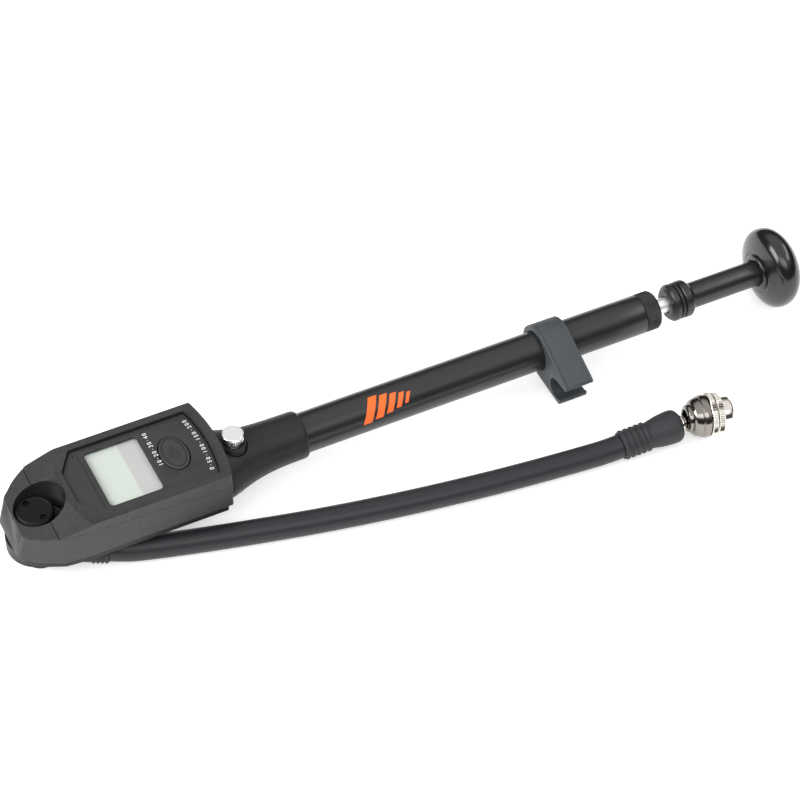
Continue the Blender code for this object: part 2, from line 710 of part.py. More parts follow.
def build_plunger(shop):
    turned(shop, "piston_rod", "chrome", [
        (199.0, 0.0), (199.0, STUD_R), (153.0, STUD_R), (153.0, ROD_R), (-4.3, ROD_R), (-4.3, 1.8),
        (-11.0, 1.8), (-11.0, 0.0)], steps=24, closed=False)
    turned(shop, "piston", "nylon", [
        (PISTON_FRONT, 6.1), (-6.1, 6.1), (-6.1, 4.7), (-8.1, 4.7), (-8.1, 6.1), (PISTON_BACK, 6.1),
        (PISTON_BACK, 2.1), (PISTON_FRONT, 2.1)])
    o_ring(shop, "piston_seal", 5.6, 0.6, (-7.1, 0, 0))
    turned(shop, "piston_nut", "steel", [(-9.9, 3.5), (-11.4, 3.5), (-11.4, 2.1), (-9.9, 2.1)], steps=6)
    turned(shop, "handle_sleeve", "gloss", [
        (TENON_END, 4.2), (SHAFT_END, 4.2), (SHAFT_END, SHAFT_R), (161.4, SHAFT_R), (160.6, 6.0),
        (160.0, 6.9),
        (159.4, 7.2), (157.6, 7.2), (157.2, 6.9), (157.2, 5.5), (155.0, 5.5), (155.0, 6.9), (154.5, 7.2),
        (153.4, 7.2), (152.4, 6.8), (BUMPER_START, 5.4), (BUMPER_START, 3.3), (153.3, 3.3), (153.3, 2.5),
        (TENON_END, 2.5)], steps=24)
    o_ring(shop, "bumper_ring", 6.35, 0.75, (156.1, 0, 0))
    dome = [(KNOB_END, 0.0)] + [
        (KNOB_WIDEST + (KNOB_END - KNOB_WIDEST) * math.sin(math.radians(angle)),
         KNOB_R * math.cos(math.radians(angle)) ** 0.9) for angle in range(75, -1, -15)]
    flare = [(197.0, 15.6), (195.6, 15.1), (194.4, 14.3), (193.3, 13.1), (192.4, 11.7), (191.8, 10.4),
             (191.6, 9.3), (192.1, 7.8), (192.2, 7.1), (191.6, 7.1),
             (KNOB_START + 0.2, 6.8), (KNOB_START, 6.2)]
    socket = [(KNOB_START, SHAFT_R + GAP), (SHAFT_END + GAP, SHAFT_R + GAP), (SHAFT_END + GAP, 4.5),
              (TENON_END + 0.4, 4.5), (TENON_END + 0.4, 2.5), (199.4, 2.5), (199.4, 0.0)]
    turned(shop, "knob", "gloss", dome + flare + socket, steps=28, closed=False)


# ---------------------------------------------------------------- clip

def build_clip(shop):
    """Rubber clip: a ring on the barrel and an arm whose open jaw takes the stowed hose."""
    tangent = math.degrees(math.acos(CLIP_RING_R / CLIP_REACH))
    outline = arc((0.0, 0.0), CLIP_RING_R, -90.0, 180.0 - tangent, 18)
    outline += [(-22.2, 1.35), (-23.1, 0.85), (-CLIP_REACH, 0.2), (-22.9, -0.5), (-22.2, -0.75)]
    outline += arc((SEAT_Y, SEAT_Z), SEAT_R, 90.0, -90.0, 10)
    outline += [(-18.2, -9.2), (-18.8, -8.5), (-19.4, -8.6), (-19.6, -9.6), (-19.3, -10.6), (-18.5, -10.9)]
    bore = arc((0.0, 0.0), CLIP_BORE_R, 0.0, 350.0, 35)
    clip = outline_solid(shop, "hose_clip", "clip_rubber", [outline, bore], 0.0, CLIP_END - CLIP_START)
    stand = Matrix(((0, 0, 1), (1, 0, 0), (0, 1, 0))).to_4x4()
    place = Matrix.Translation(PUMP_FRAME + metres((CLIP_START, 0, 0)))
    clip.data.transform(Matrix.Translation((0, 0, (CLIP_END - CLIP_START) / 2.0 * MM)))
    clip.matrix_world = place @ stand
    rounding = clip.modifiers.new("edge", "BEVEL")
    rounding.width = 0.5 * MM
    rounding.segments = 1
    rounding.limit_method = "ANGLE"
    rounding.angle_limit = math.radians(60)


# ---------------------------------------------------------------- hose and its ends

def smooth_route(points, count):
    """A Catmull-Rom curve through the points, read at even steps of its length."""
    ends = [points[0] * 2.0 - points[1]] + points + [points[-1] * 2.0 - points[-2]]
    fine = []
    for a, b, c, d in zip(ends, ends[1:], ends[2:], ends[3:]):
        for step in range(20):
            t = step / 20.0
            fine.append(0.5 * (b * 2.0 + (c - a) * t + (a * 2.0 - b * 5.0 + c * 4.0 - d) * t * t
                               + (b * 3.0 - a - c * 3.0 + d) * t * t * t))
    fine.append(points[-1])
    travelled = [0.0]
    for a, b in zip(fine, fine[1:]):
        travelled.append(travelled[-1] + (b - a).length)
    even = []
    index = 0
    for step in range(count):
        target = travelled[-1] * step / (count - 1)
        while index < len(fine) - 2 and travelled[index + 1] < target:
            index += 1
        share = (target - travelled[index]) / (travelled[index + 1] - travelled[index])
        even.append(fine[index].lerp(fine[index + 1], share))
    return even


def build_hose(shop):
    start = HOSE_EXIT + HOSE_EXIT_ALONG * (BOOT_END + GAP)
    end = FAR_BOOT_AT
    guide = [start, start + HOSE_EXIT_ALONG * 4.0]
    guide += [Vector(point) for point in HOSE_ROUTE]
    guide += [end - FAR_ALONG * 4.0, end]
    curve = bpy.data.curves.new("hose_tube", "CURVE")
    curve.dimensions = "3D"
    curve.bevel_depth = HOSE_R * MM
    curve.bevel_resolution = 4
    curve.use_fill_caps = True
    spline = curve.splines.new("POLY")
    spline.points.add(HOSE_POINTS - 1)
    for point, place in zip(spline.points, smooth_route(guide, HOSE_POINTS)):
        point.co = (*metres(place), 1.0)
    tube = bpy.data.objects.new("hose_tube", curve)
    tube.parent = shop.frame
    shop.parts.objects.link(tube)
    curve.materials.append(shop.finishes["rubber"])


def build_hose_ends(shop):
    turned(shop, "head_boot", "rubber", [
        (BOOT_START, 4.7), (BOOT_START + 0.5, 5.1), (17.4, 5.1), (18.0, 4.9), (BOOT_END, 4.9),
        (BOOT_END, 2.2), (BOOT_START, 2.2)],
        at=HOSE_EXIT, along=HOSE_EXIT_ALONG, steps=20)
    length = FAR_BOOT_LENGTH
    turned(shop, "far_boot", "rubber", [
        (GAP, 5.1), (12.0, 5.2), (15.0, 5.8), (18.0, 6.15), (21.0, 6.25), (22.6, 6.0), (23.5, 5.4),
        (length, 4.3), (length, 2.2), (GAP, 2.2)],
        at=FAR_BOOT_AT, along=FAR_ALONG, steps=20)
    turned(shop, "far_ferrule", "nickel", [
        (length + 1.0, 2.7), (length + 0.3, 3.0), (length + 0.3, 0.9), (length + 1.0, 0.9)],
        at=FAR_BOOT_AT, along=FAR_ALONG, steps=20)
    foot = length + 1.3
    ball = [(BALL_STATION + BALL_R * math.sin(math.radians(angle)), BALL_R * math.cos(math.radians(angle)))
            for angle in range(-44, 71, 19)]
    turned(shop, "chuck_stem", "nickel",
           [(foot, 2.3), (foot + 0.8, 2.3), (foot + 1.2, 1.65)] + ball
           + [(BALL_STATION + 2.2, 0.8), (foot, 0.8)],
           at=FAR_BOOT_AT, along=FAR_ALONG, steps=20)


def build_chuck(shop):
    """Thumb-turned screw chuck for the shock's valve, loose on the ball at the stem's end."""
    place = {"at": BALL_CENTRE, "along": CHUCK_ALONG}
    turned(shop, "chuck_body", "nickel", [
        (-5.2, 4.3), (-4.8, 5.0), (-4.0, 5.3), (-3.6, 5.1), (-3.4, 5.9), (-2.8, 6.4), (-1.9, 6.75),
        (-1.6, 6.6), (-1.4, 7.1), (-0.6, 7.5), (0.3, 7.75), (1.2, 8.0), (2.2, 8.0), (2.7, 7.6), (2.7, 6.5),
        (7.9, 6.5), (7.9, CHUCK_BORE_R), (3.5, CHUCK_BORE_R), (3.5, 1.0), (2.7, 1.0), (2.7, 3.4),
        (-5.2, 3.4)], steps=24, **place)
    turned(shop, "chuck_grip_rear", "nickel", [
        (3.0, 7.8), (3.3, 8.1), (4.9, 8.1), (5.2, 7.8), (5.2, 6.8), (3.0, 6.8)], steps=24, **place)
    turned(shop, "chuck_grip_front", "nickel", [
        (5.5, 7.4), (5.8, 7.75), (7.5, 7.75), (7.9, 7.4), (7.9, 6.8), (5.5, 6.8)], steps=24, **place)
    turned(shop, "chuck_nose", "nickel", [
        (8.2, 6.1), (11.0, 6.1), (11.8, 5.7), (12.0, 5.2), (12.0, CHUCK_BORE_R), (8.2, CHUCK_BORE_R)],
        steps=24, **place)
    turned(shop, "chuck_seal", "rubber", [(3.8, 3.7), (5.2, 3.7), (5.2, 1.3), (3.8, 1.3)], steps=24, **place)
    turned(shop, "valve_pin", "brass", [(3.0, 0.0), (3.0, 0.7), (6.1, 0.7), (6.4, 0.4), (6.4, 0.0)],
           steps=16, closed=False, **place)


def main():
    clear_scene()
    shop = Workshop()
    build_barrel(shop)
    build_check_valve(shop)
    build_pump_head(shop)
    build_screws(shop)
    build_housing(shop)
    build_cover(shop)
    build_panel(shop)
    build_electronics(shop)
    build_bleed_valve(shop)
    build_swivel(shop)
    build_plunger(shop)
    build_clip(shop)
    build_hose(shop)
    build_hose_ends(shop)
    build_chuck(shop)


main()
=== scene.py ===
"""Looks of a shock suspension pump: fine meshes, procedural finishes, hose and studio."""

import math

import bmesh
import bpy
from bpy.props import FloatProperty, FloatVectorProperty, IntProperty, PointerProperty
from mathutils import Matrix, Vector


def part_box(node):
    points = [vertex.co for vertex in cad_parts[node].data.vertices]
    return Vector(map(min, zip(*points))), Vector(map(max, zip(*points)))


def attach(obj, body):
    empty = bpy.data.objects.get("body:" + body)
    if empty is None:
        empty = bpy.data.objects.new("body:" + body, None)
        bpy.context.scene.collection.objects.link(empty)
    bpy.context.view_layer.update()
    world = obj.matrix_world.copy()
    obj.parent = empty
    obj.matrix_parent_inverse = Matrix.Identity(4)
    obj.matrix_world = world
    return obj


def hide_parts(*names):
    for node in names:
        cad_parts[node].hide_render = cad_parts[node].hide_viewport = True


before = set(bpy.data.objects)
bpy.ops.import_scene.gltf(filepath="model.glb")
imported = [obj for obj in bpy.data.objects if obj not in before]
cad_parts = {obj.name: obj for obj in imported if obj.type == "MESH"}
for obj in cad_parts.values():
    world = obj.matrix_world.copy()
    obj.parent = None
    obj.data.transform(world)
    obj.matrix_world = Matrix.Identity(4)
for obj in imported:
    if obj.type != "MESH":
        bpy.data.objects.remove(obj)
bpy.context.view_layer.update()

bl_info = {
    "name": "Shock Pump Looks",
    "version": (1, 0, 0),
    "blender": (4, 5, 0),
    "location": "3D View > Sidebar > Shock Pump",
    "description": "Builds the visible pieces of a shock pump round its packed frame",
    "category": "Object",
}

MM = 0.001
TAU = 2.0 * math.pi

# ---------------------------------------------------------------- sizes, in millimetres
# CUT_ sizes are where the tools that cut the head end, past it on each side
# The pump frame: +X along the barrel, +Z the gauge's face, origin where the barrel leaves the head

BARREL_LOW, BARREL_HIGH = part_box("barrel_tube")
KNOB_LOW, KNOB_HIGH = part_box("knob")
BARREL_START = -16.0
BARREL_END = 139.5
ORIGIN = Vector((
    BARREL_HIGH.x - BARREL_END * MM,
    (BARREL_LOW.y + BARREL_HIGH.y) / 2.0,
    (BARREL_LOW.z + BARREL_HIGH.z) / 2.0,
))
BARREL_R = (BARREL_HIGH.z - BARREL_LOW.z) / 2.0 / MM
KNOB_R = (KNOB_HIGH.z - KNOB_LOW.z) / 2.0 / MM
KNOB_END = 207.4

HEAD_HALF_WIDTH = 19.2
HEAD_BOTTOM = -1.6
HEAD_TOP = 14.1
HEAD_RIGHT_CORNER = -35.2
HEAD_RIGHT_BULGE = 2.5
NOSE_FOOT = -111.7
NOSE_LEAN = 0.27
NOSE_HALF_WIDTH = 9.8
SHOULDER_X = -97.6
CREASE_X = -98.5
CREASE_Z = 11.2
FACET_SLOPE = 0.218
SEAM_RIGHT_Z = 8.0
SEAM_SLOPE = 0.0455
SEAM_GAP = 0.12
SEAM_SPAN = (-20.0, -125.0)
HOLLOW = (-86.5, -37.4, 17.3)
STRAIGHT_END = -88.0
PANEL_RIGHT = -38.4
PANEL_RIGHT_BULGE = 2.0
PANEL_LEFT = -87.7
PANEL_LEFT_HALF = 7.6
PANEL_CLIP = -82.2
PANEL_HALF_WIDTH = 16.2
PANEL_FLOOR = 12.1
PANEL_TOP = 13.1
PANEL_BREAK_X = -79.8
# The display's window: its left end, its right end and half its height
WINDOW = (-77.7, -58.0, 13.37)
BUTTON_X = -48.9
BUTTON_HALF = (5.0, 8.0)
WELL_X = -99.0
WELL_R = 9.3
SWIVEL_X = -100.85
CUT_SIDE = 30.0
CUT_TOP = 30.0
CUT_HIGH = 40.0
CUT_NOSE = -130.0
SCREW_PLACES = [(-42.0, 12.5), (-42.0, -12.5), (-87.0, 12.5), (-87.0, -12.5)]
# The bleed valve's foot, and the top of its button
BLEED_AT = (-27.4, -2.0, 0.0)
BLEED_TOP = 15.0
CLIP_SPAN = (95.4, 107.0)
CLIP_REACH = 23.3
CLIP_RING_R = 9.8
CLIP_BORE_R = 7.65
# The round seat that holds the hose: across, up, and its radius
SEAT = (-16.1, -5.2, 4.05)

HOSE_R = 4.5
HOSE_EXIT = Vector((SWIVEL_X, 0.0, -10.6))
HOSE_EXIT_YAW = math.radians(-28.0)
BOOT_START = 11.4
BOOT_END = 24.5
FAR_BOOT_AT = Vector((105.2, -47.5, -10.35))
FAR_BOOT_YAW = math.radians(-3.8)
FAR_BOOT_PITCH = math.radians(5.3)
FAR_BOOT_LENGTH = 24.0
BALL_STATION = 31.8
CHUCK_YAW = math.radians(-12.0)
CHUCK_PITCH = math.radians(-1.7)

# The hose's route between its two boots
HOSE_ROUTE = [
    (-69.9, -15.6, -10.8),
    (-56.2, -19.4, -11.1),
    (-35.6, -24.7, -11.25),
    (-7.7, -31.3, -11.25),
    (21.0, -36.9, -11.25),
    (50.8, -41.6, -11.25),
    (73.9, -44.5, -11.2),
    (94.0, -46.7, -10.95),
]
HOSE_POINTS = 72

CAMERA_AT = (-242.47, -546.23, 650.07)
CAMERA_AZIMUTH = math.radians(-27.29)
CAMERA_ELEVATION = math.radians(46.64)
CAMERA_ROLL = math.radians(1.05)
CAMERA_LENS = 110.7

X_AXIS = Vector((1.0, 0.0, 0.0))
Z_AXIS = Vector((0.0, 0.0, 1.0))


# ---------------------------------------------------------------- what a user may change

class PumpSizes(bpy.types.PropertyGroup):
    """Sizes of the fine detail."""

    cap_teeth: IntProperty(
        name="Cap teeth", description="Teeth round the knurled end cap", default=64, min=12)
    cap_tooth_depth: FloatProperty(
        name="Cap tooth depth", description="Height of the end cap's teeth",
        default=0.00022, min=0.0, unit="LENGTH")
    grip_teeth: IntProperty(
        name="Grip teeth", description="Teeth round each grip ring of the chuck", default=56, min=12)
    grip_tooth_depth: FloatProperty(
        name="Grip tooth depth", description="Height of the grip rings' teeth",
        default=0.0003, min=0.0, unit="LENGTH")
    rib_height: FloatProperty(
        name="Rib height", description="How far the boots' ribs stand out",
        default=0.00055, min=0.0, unit="LENGTH")
    edge_round: FloatProperty(
        name="Edge rounding", description="Rounding of the gauge case's edges",
        default=0.00045, min=0.0, unit="LENGTH")


class PumpColours(bpy.types.PropertyGroup):
    """Colours of the main finishes."""

    casing: FloatVectorProperty(
        name="Case", description="Moulded case of the gauge", subtype="COLOR",
        default=(0.027, 0.027, 0.0275), min=0.0, max=1.0)
    facia: FloatVectorProperty(
        name="Facia", description="Panel round the display", subtype="COLOR",
        default=(0.026, 0.026, 0.0265), min=0.0, max=1.0)
    anodised: FloatVectorProperty(
        name="Barrel", description="Anodised barrel and plunger", subtype="COLOR",
        default=(0.016, 0.016, 0.017), min=0.0, max=1.0)
    rubber: FloatVectorProperty(
        name="Rubber", description="Hose and boots", subtype="COLOR",
        default=(0.017, 0.018, 0.021), min=0.0, max=1.0)
    clip: FloatVectorProperty(
        name="Clip", description="Rubber clip on the barrel", subtype="COLOR",
        default=(0.047, 0.053, 0.060), min=0.0, max=1.0)
    mark: FloatVectorProperty(
        name="Mark", description="Printed mark on the barrel", subtype="COLOR",
        default=(0.87, 0.135, 0.012), min=0.0, max=1.0)
    display: FloatVectorProperty(
        name="Display", description="Lit part of the display", subtype="COLOR",
        default=(0.65, 0.71, 0.65), min=0.0, max=1.0)


class StageLight(bpy.types.PropertyGroup):
    """Studio light round the pump."""

    overhead: FloatProperty(
        name="Overhead", description="Power of the soft box above the near side",
        default=6.0, min=0.0, unit="POWER")
    side: FloatProperty(
        name="Side", description="Power of the strip light beyond the knob",
        default=2.5, min=0.0, unit="POWER")
    left: FloatProperty(
        name="Left", description="Power of the soft box beyond the gauge head",
        default=15.0, min=0.0, unit="POWER")
    surround: FloatProperty(
        name="Surround", description="Strength of the light from all round", default=0.80, min=0.0)


# ---------------------------------------------------------------- node helpers

def socket(node, name, kind="inputs"):
    """A node's socket by name, whichever place it has."""
    return next(s for s in getattr(node, kind) if s.name == name and s.enabled)


def math_node(tree, operation, first, second=None, third=None):
    """A math node's result; each value is a number or another node's socket."""
    node = tree.nodes.new("ShaderNodeMath")
    node.operation = operation
    for index, value in enumerate((first, second, third)):
        if value is None:
            continue
        if isinstance(value, (int, float)):
            node.inputs[index].default_value = value
        else:
            tree.links.new(value, node.inputs[index])
    return node.outputs[0]


def map_range(tree, value, low, high, to_low, to_high):
    """A value taken smoothly from one range to another."""
    node = tree.nodes.new("ShaderNodeMapRange")
    node.interpolation_type = "SMOOTHSTEP"
    tree.links.new(value, node.inputs["Value"])
    ends = {"From Min": low, "From Max": high, "To Min": to_low, "To Max": to_high}
    for name, number in ends.items():
        if isinstance(number, (int, float)):
            node.inputs[name].default_value = number
        else:
            tree.links.new(number, node.inputs[name])
    return node.outputs["Result"]


def new_group(name, inputs, outputs):
    """A shader node group with float, vector and colour sockets, and its two end nodes."""
    tree = bpy.data.node_groups.new(name, "ShaderNodeTree")
    kinds = {"value": "NodeSocketFloat", "vector": "NodeSocketVector", "colour": "NodeSocketColor"}
    for title, kind, default in inputs:
        made = tree.interface.new_socket(name=title, in_out="INPUT", socket_type=kinds[kind])
        if default is not None:
            made.default_value = default
    for title, kind in outputs:
        tree.interface.new_socket(name=title, in_out="OUTPUT", socket_type=kinds[kind])
    start = tree.nodes.new("NodeGroupInput")
    end = tree.nodes.new("NodeGroupOutput")
    return tree, start, end


def make_grain_group():
    """Fine moulded grain: a height for a bump, and a mask of its hollows."""
    tree, start, end = new_group(
        "moulded_grain",
        [("Vector", "vector", None), ("Scale", "value", 3000.0), ("Coarse", "value", 0.3)],
        [("Height", "value"), ("Hollows", "value")])
    fine = tree.nodes.new("ShaderNodeTexNoise")
    fine.inputs["Detail"].default_value = 3.0
    fine.inputs["Roughness"].default_value = 0.65
    tree.links.new(start.outputs["Vector"], fine.inputs["Vector"])
    tree.links.new(start.outputs["Scale"], fine.inputs["Scale"])
    coarse = tree.nodes.new("ShaderNodeTexVoronoi")
    coarse.feature = "SMOOTH_F1"
    tree.links.new(start.outputs["Vector"], coarse.inputs["Vector"])
    tree.links.new(math_node(tree, "MULTIPLY", start.outputs["Scale"], 0.45), coarse.inputs["Scale"])
    share = math_node(tree, "MULTIPLY", coarse.outputs["Distance"], start.outputs["Coarse"])
    height = math_node(tree, "ADD", fine.outputs[0], share)
    tree.links.new(height, end.inputs["Height"])
    tree.links.new(map_range(tree, height, 0.35, 0.75, 1.0, 0.0), end.inputs["Hollows"])
    return tree


def make_handling_and_shade_group():
    """Slow changes of tone and gloss left by use and cleaning, and painted shade in the grain's
    hollows.
    """
    tree, start, end = new_group(
        "handled_surface",
        [("Vector", "vector", None), ("Colour", "colour", (0.5, 0.5, 0.5, 1.0)),
         ("Roughness", "value", 0.5), ("Gloss Change", "value", 0.06), ("Tone Change", "value", 0.06),
         ("Mask", "value", 0.0)],
        [("Colour", "colour"), ("Roughness", "value")])
    cloud = tree.nodes.new("ShaderNodeTexNoise")
    cloud.inputs["Scale"].default_value = 70.0
    cloud.inputs["Detail"].default_value = 5.0
    tree.links.new(start.outputs["Vector"], cloud.inputs["Vector"])
    swing = math_node(tree, "SUBTRACT", cloud.outputs[0], 0.5)
    change = math_node(tree, "MULTIPLY", swing, start.outputs["Gloss Change"])
    rough = math_node(tree, "MULTIPLY_ADD", change, 2.0, start.outputs["Roughness"])
    tree.links.new(rough, end.inputs["Roughness"])
    tone = math_node(tree, "MULTIPLY", swing, start.outputs["Tone Change"])
    tone = math_node(tree, "MULTIPLY_ADD", tone, 0.8, 1.0)
    # Painted shade: where the mask marks the grain's hollows, the tone change darkens the colour
    lift = math_node(tree, "MULTIPLY", start.outputs["Mask"], start.outputs["Tone Change"])
    tone = math_node(tree, "SUBTRACT", tone, lift)
    scaled = tree.nodes.new("ShaderNodeVectorMath")
    scaled.operation = "SCALE"
    tree.links.new(start.outputs["Colour"], scaled.inputs[0])
    tree.links.new(tone, socket(scaled, "Scale"))
    tree.links.new(scaled.outputs[0], end.inputs["Colour"])
    return tree


def make_rub_group():
    """Edges that hands have rubbed: a mask from how sharply the surface bends."""
    tree, start, end = new_group(
        "rubbed_edges",
        [("Vector", "vector", None), ("Start", "value", 0.52), ("Full", "value", 0.62)],
        [("Mask", "value")])
    geometry = tree.nodes.new("ShaderNodeNewGeometry")
    edge = map_range(
        tree, geometry.outputs["Pointiness"], start.outputs["Start"], start.outputs["Full"], 0.0, 1.0)
    patches = tree.nodes.new("ShaderNodeTexNoise")
    patches.inputs["Scale"].default_value = 400.0
    tree.links.new(start.outputs["Vector"], patches.inputs["Vector"])
    broken = map_range(tree, patches.outputs[0], 0.35, 0.6, 0.3, 1.0)
    tree.links.new(math_node(tree, "MULTIPLY", edge, broken), end.inputs["Mask"])
    return tree


def make_lathe_group():
    """Faint rings that a cutting tool leaves round a turned or drawn piece."""
    tree, start, end = new_group(
        "lathe_rings",
        [("Vector", "vector", None), ("Rings", "value", 9.0), ("Drift", "value", 3.0)],
        [("Height", "value")])
    split = tree.nodes.new("ShaderNodeSeparateXYZ")
    tree.links.new(start.outputs["Vector"], split.inputs[0])
    around = math_node(tree, "MULTIPLY", split.outputs["X"], start.outputs["Drift"])
    along = math_node(tree, "MULTIPLY", split.outputs["Y"], start.outputs["Rings"])
    joined = tree.nodes.new("ShaderNodeCombineXYZ")
    tree.links.new(around, joined.inputs["X"])
    tree.links.new(along, joined.inputs["Y"])
    noise = tree.nodes.new("ShaderNodeTexNoise")
    noise.inputs["Scale"].default_value = 1.0
    noise.inputs["Detail"].default_value = 4.0
    tree.links.new(joined.outputs[0], noise.inputs["Vector"])
    tree.links.new(noise.outputs[0], end.inputs["Height"])
    return tree


def add_group(tree, group, vector, **values):
    """Adds a shader group to a material, with its inputs given by name."""
    node = tree.nodes.new("ShaderNodeGroup")
    node.node_tree = group
    tree.links.new(vector, node.inputs["Vector"])
    for name, value in values.items():
        node.inputs[name.replace("_", " ")].default_value = value
    return node


# Each finish: a colour, or the name of one that a user may change, and what sets it apart
# tone_change sets a finish's random tone and also how far painted shade darkens its grain's hollows
FINISHES = {
    "casing": dict(
        colour="casing", roughness=0.48, grain=2000.0, bump=0.8, depth=0.00012, tone_change=0.5),
    "facia": dict(
        colour="facia", roughness=0.44, grain=2600.0, bump=0.5, depth=0.00006, tone_change=0.3),
    "key": dict(
        colour="facia", lift=1.1, roughness=0.5, grain=3600.0, bump=0.3, depth=0.00003),
    "casting": dict(
        colour=(0.015, 0.015, 0.0155), roughness=0.46, grain=2200.0, bump=0.45, depth=0.00005,
        tone_change=0.2, sockets={"Specular IOR Level": 0.32}),
    # Black finish of the swivel bolt; on the well's liner it is painted shade inside the well
    "blacking": dict(
        colour=(0.006, 0.006, 0.0065), roughness=0.5, grain=2200.0, bump=0.3, depth=0.00004,
        tone_change=0.2, sockets={"Specular IOR Level": 0.16}),
    "anodised": dict(
        colour="anodised", roughness=0.31, metallic=0.25, grain=5000.0, bump=0.12, gloss_change=0.05,
        sockets={"Specular IOR Level": 0.7}),
    "cap": dict(
        colour="anodised", roughness=0.42, metallic=0.2, grain=4000.0, bump=0.2,
        worn=(0.16, 0.16, 0.16)),
    "gloss": dict(
        colour=(0.0075, 0.0075, 0.008), roughness=0.2, grain=900.0, bump=0.06, depth=0.00003,
        gloss_change=0.05, sockets={"Coat Weight": 0.35, "Coat Roughness": 0.12}),
    "rubber": dict(
        colour="rubber", roughness=0.42, grain=2600.0, bump=0.35, depth=0.00004, tone_change=0.12,
        gloss_change=0.07, sockets={"Specular IOR Level": 0.38}),
    "boot_rubber": dict(
        colour="rubber", lift=1.15, roughness=0.6, grain=2200.0, bump=0.45, depth=0.00005,
        tone_change=0.15),
    "clip_rubber": dict(
        colour="clip", roughness=0.56, grain=2400.0, bump=0.45, depth=0.00005, tone_change=0.25),
    "seal_rubber": dict(colour=(0.012, 0.012, 0.012), roughness=0.42, bump=0.15),
    "chrome": dict(
        colour=(0.92, 0.92, 0.93), roughness=0.14, metallic=1.0, grain=1500.0, bump=0.25, depth=0.00003,
        gloss_change=0.1, tone_change=0.02),
    "polished": dict(
        colour=(0.97, 0.98, 0.98), roughness=0.36, metallic=0.7, rings=2.5, bump=0.12, depth=0.00001,
        gloss_change=0.04, tone_change=0.02),
    "nickel": dict(
        colour=(0.76, 0.72, 0.66), roughness=0.15, metallic=1.0, rings=8.0, bump=0.12, depth=0.00001,
        tone_change=0.03),
    "dark_nickel": dict(
        colour=(0.27, 0.25, 0.23), roughness=0.16, metallic=1.0, rings=8.0, bump=0.12, depth=0.00001),
    "steel": dict(
        colour=(0.55, 0.55, 0.56), roughness=0.34, metallic=1.0, grain=2500.0, bump=0.15,
        tone_change=0.06),
    "brass": dict(
        colour=(0.78, 0.60, 0.30), roughness=0.3, metallic=1.0, grain=2500.0, bump=0.15,
        tone_change=0.06),
    "nylon": dict(colour=(0.72, 0.71, 0.66), roughness=0.5, grain=2500.0, bump=0.2),
    "board": dict(colour=(0.02, 0.13, 0.05), roughness=0.42, grain=900.0, bump=0.3, tone_change=0.25),
    "mark_ink": dict(colour="mark", roughness=0.5),
    "white_ink": dict(colour=(0.72, 0.72, 0.72), roughness=0.5),
    "lens": dict(
        colour=(0.30, 0.31, 0.30), roughness=0.09, grain=700.0, bump=0.03, gloss_change=0.05,
        sockets={"Alpha": 0.10}, blended=True),
    "display": dict(colour="display", roughness=0.5, grain=2600.0, tone_change=0.04),
}
STRIP_COLOUR = (0.55, 0.545, 0.54, 1.0)
STRIP_WIDTH = 7.4
STRIP_BLUR = 0.15


def mixed(tree, factor, first, second):
    """A colour between a socket's and a fixed one, by a factor."""
    mix = tree.nodes.new("ShaderNodeMix")
    mix.data_type = "RGBA"
    tree.links.new(factor, mix.inputs["Factor"])
    tree.links.new(first, mix.inputs["A"])
    mix.inputs["B"].default_value = second
    return mix.outputs["Result"]


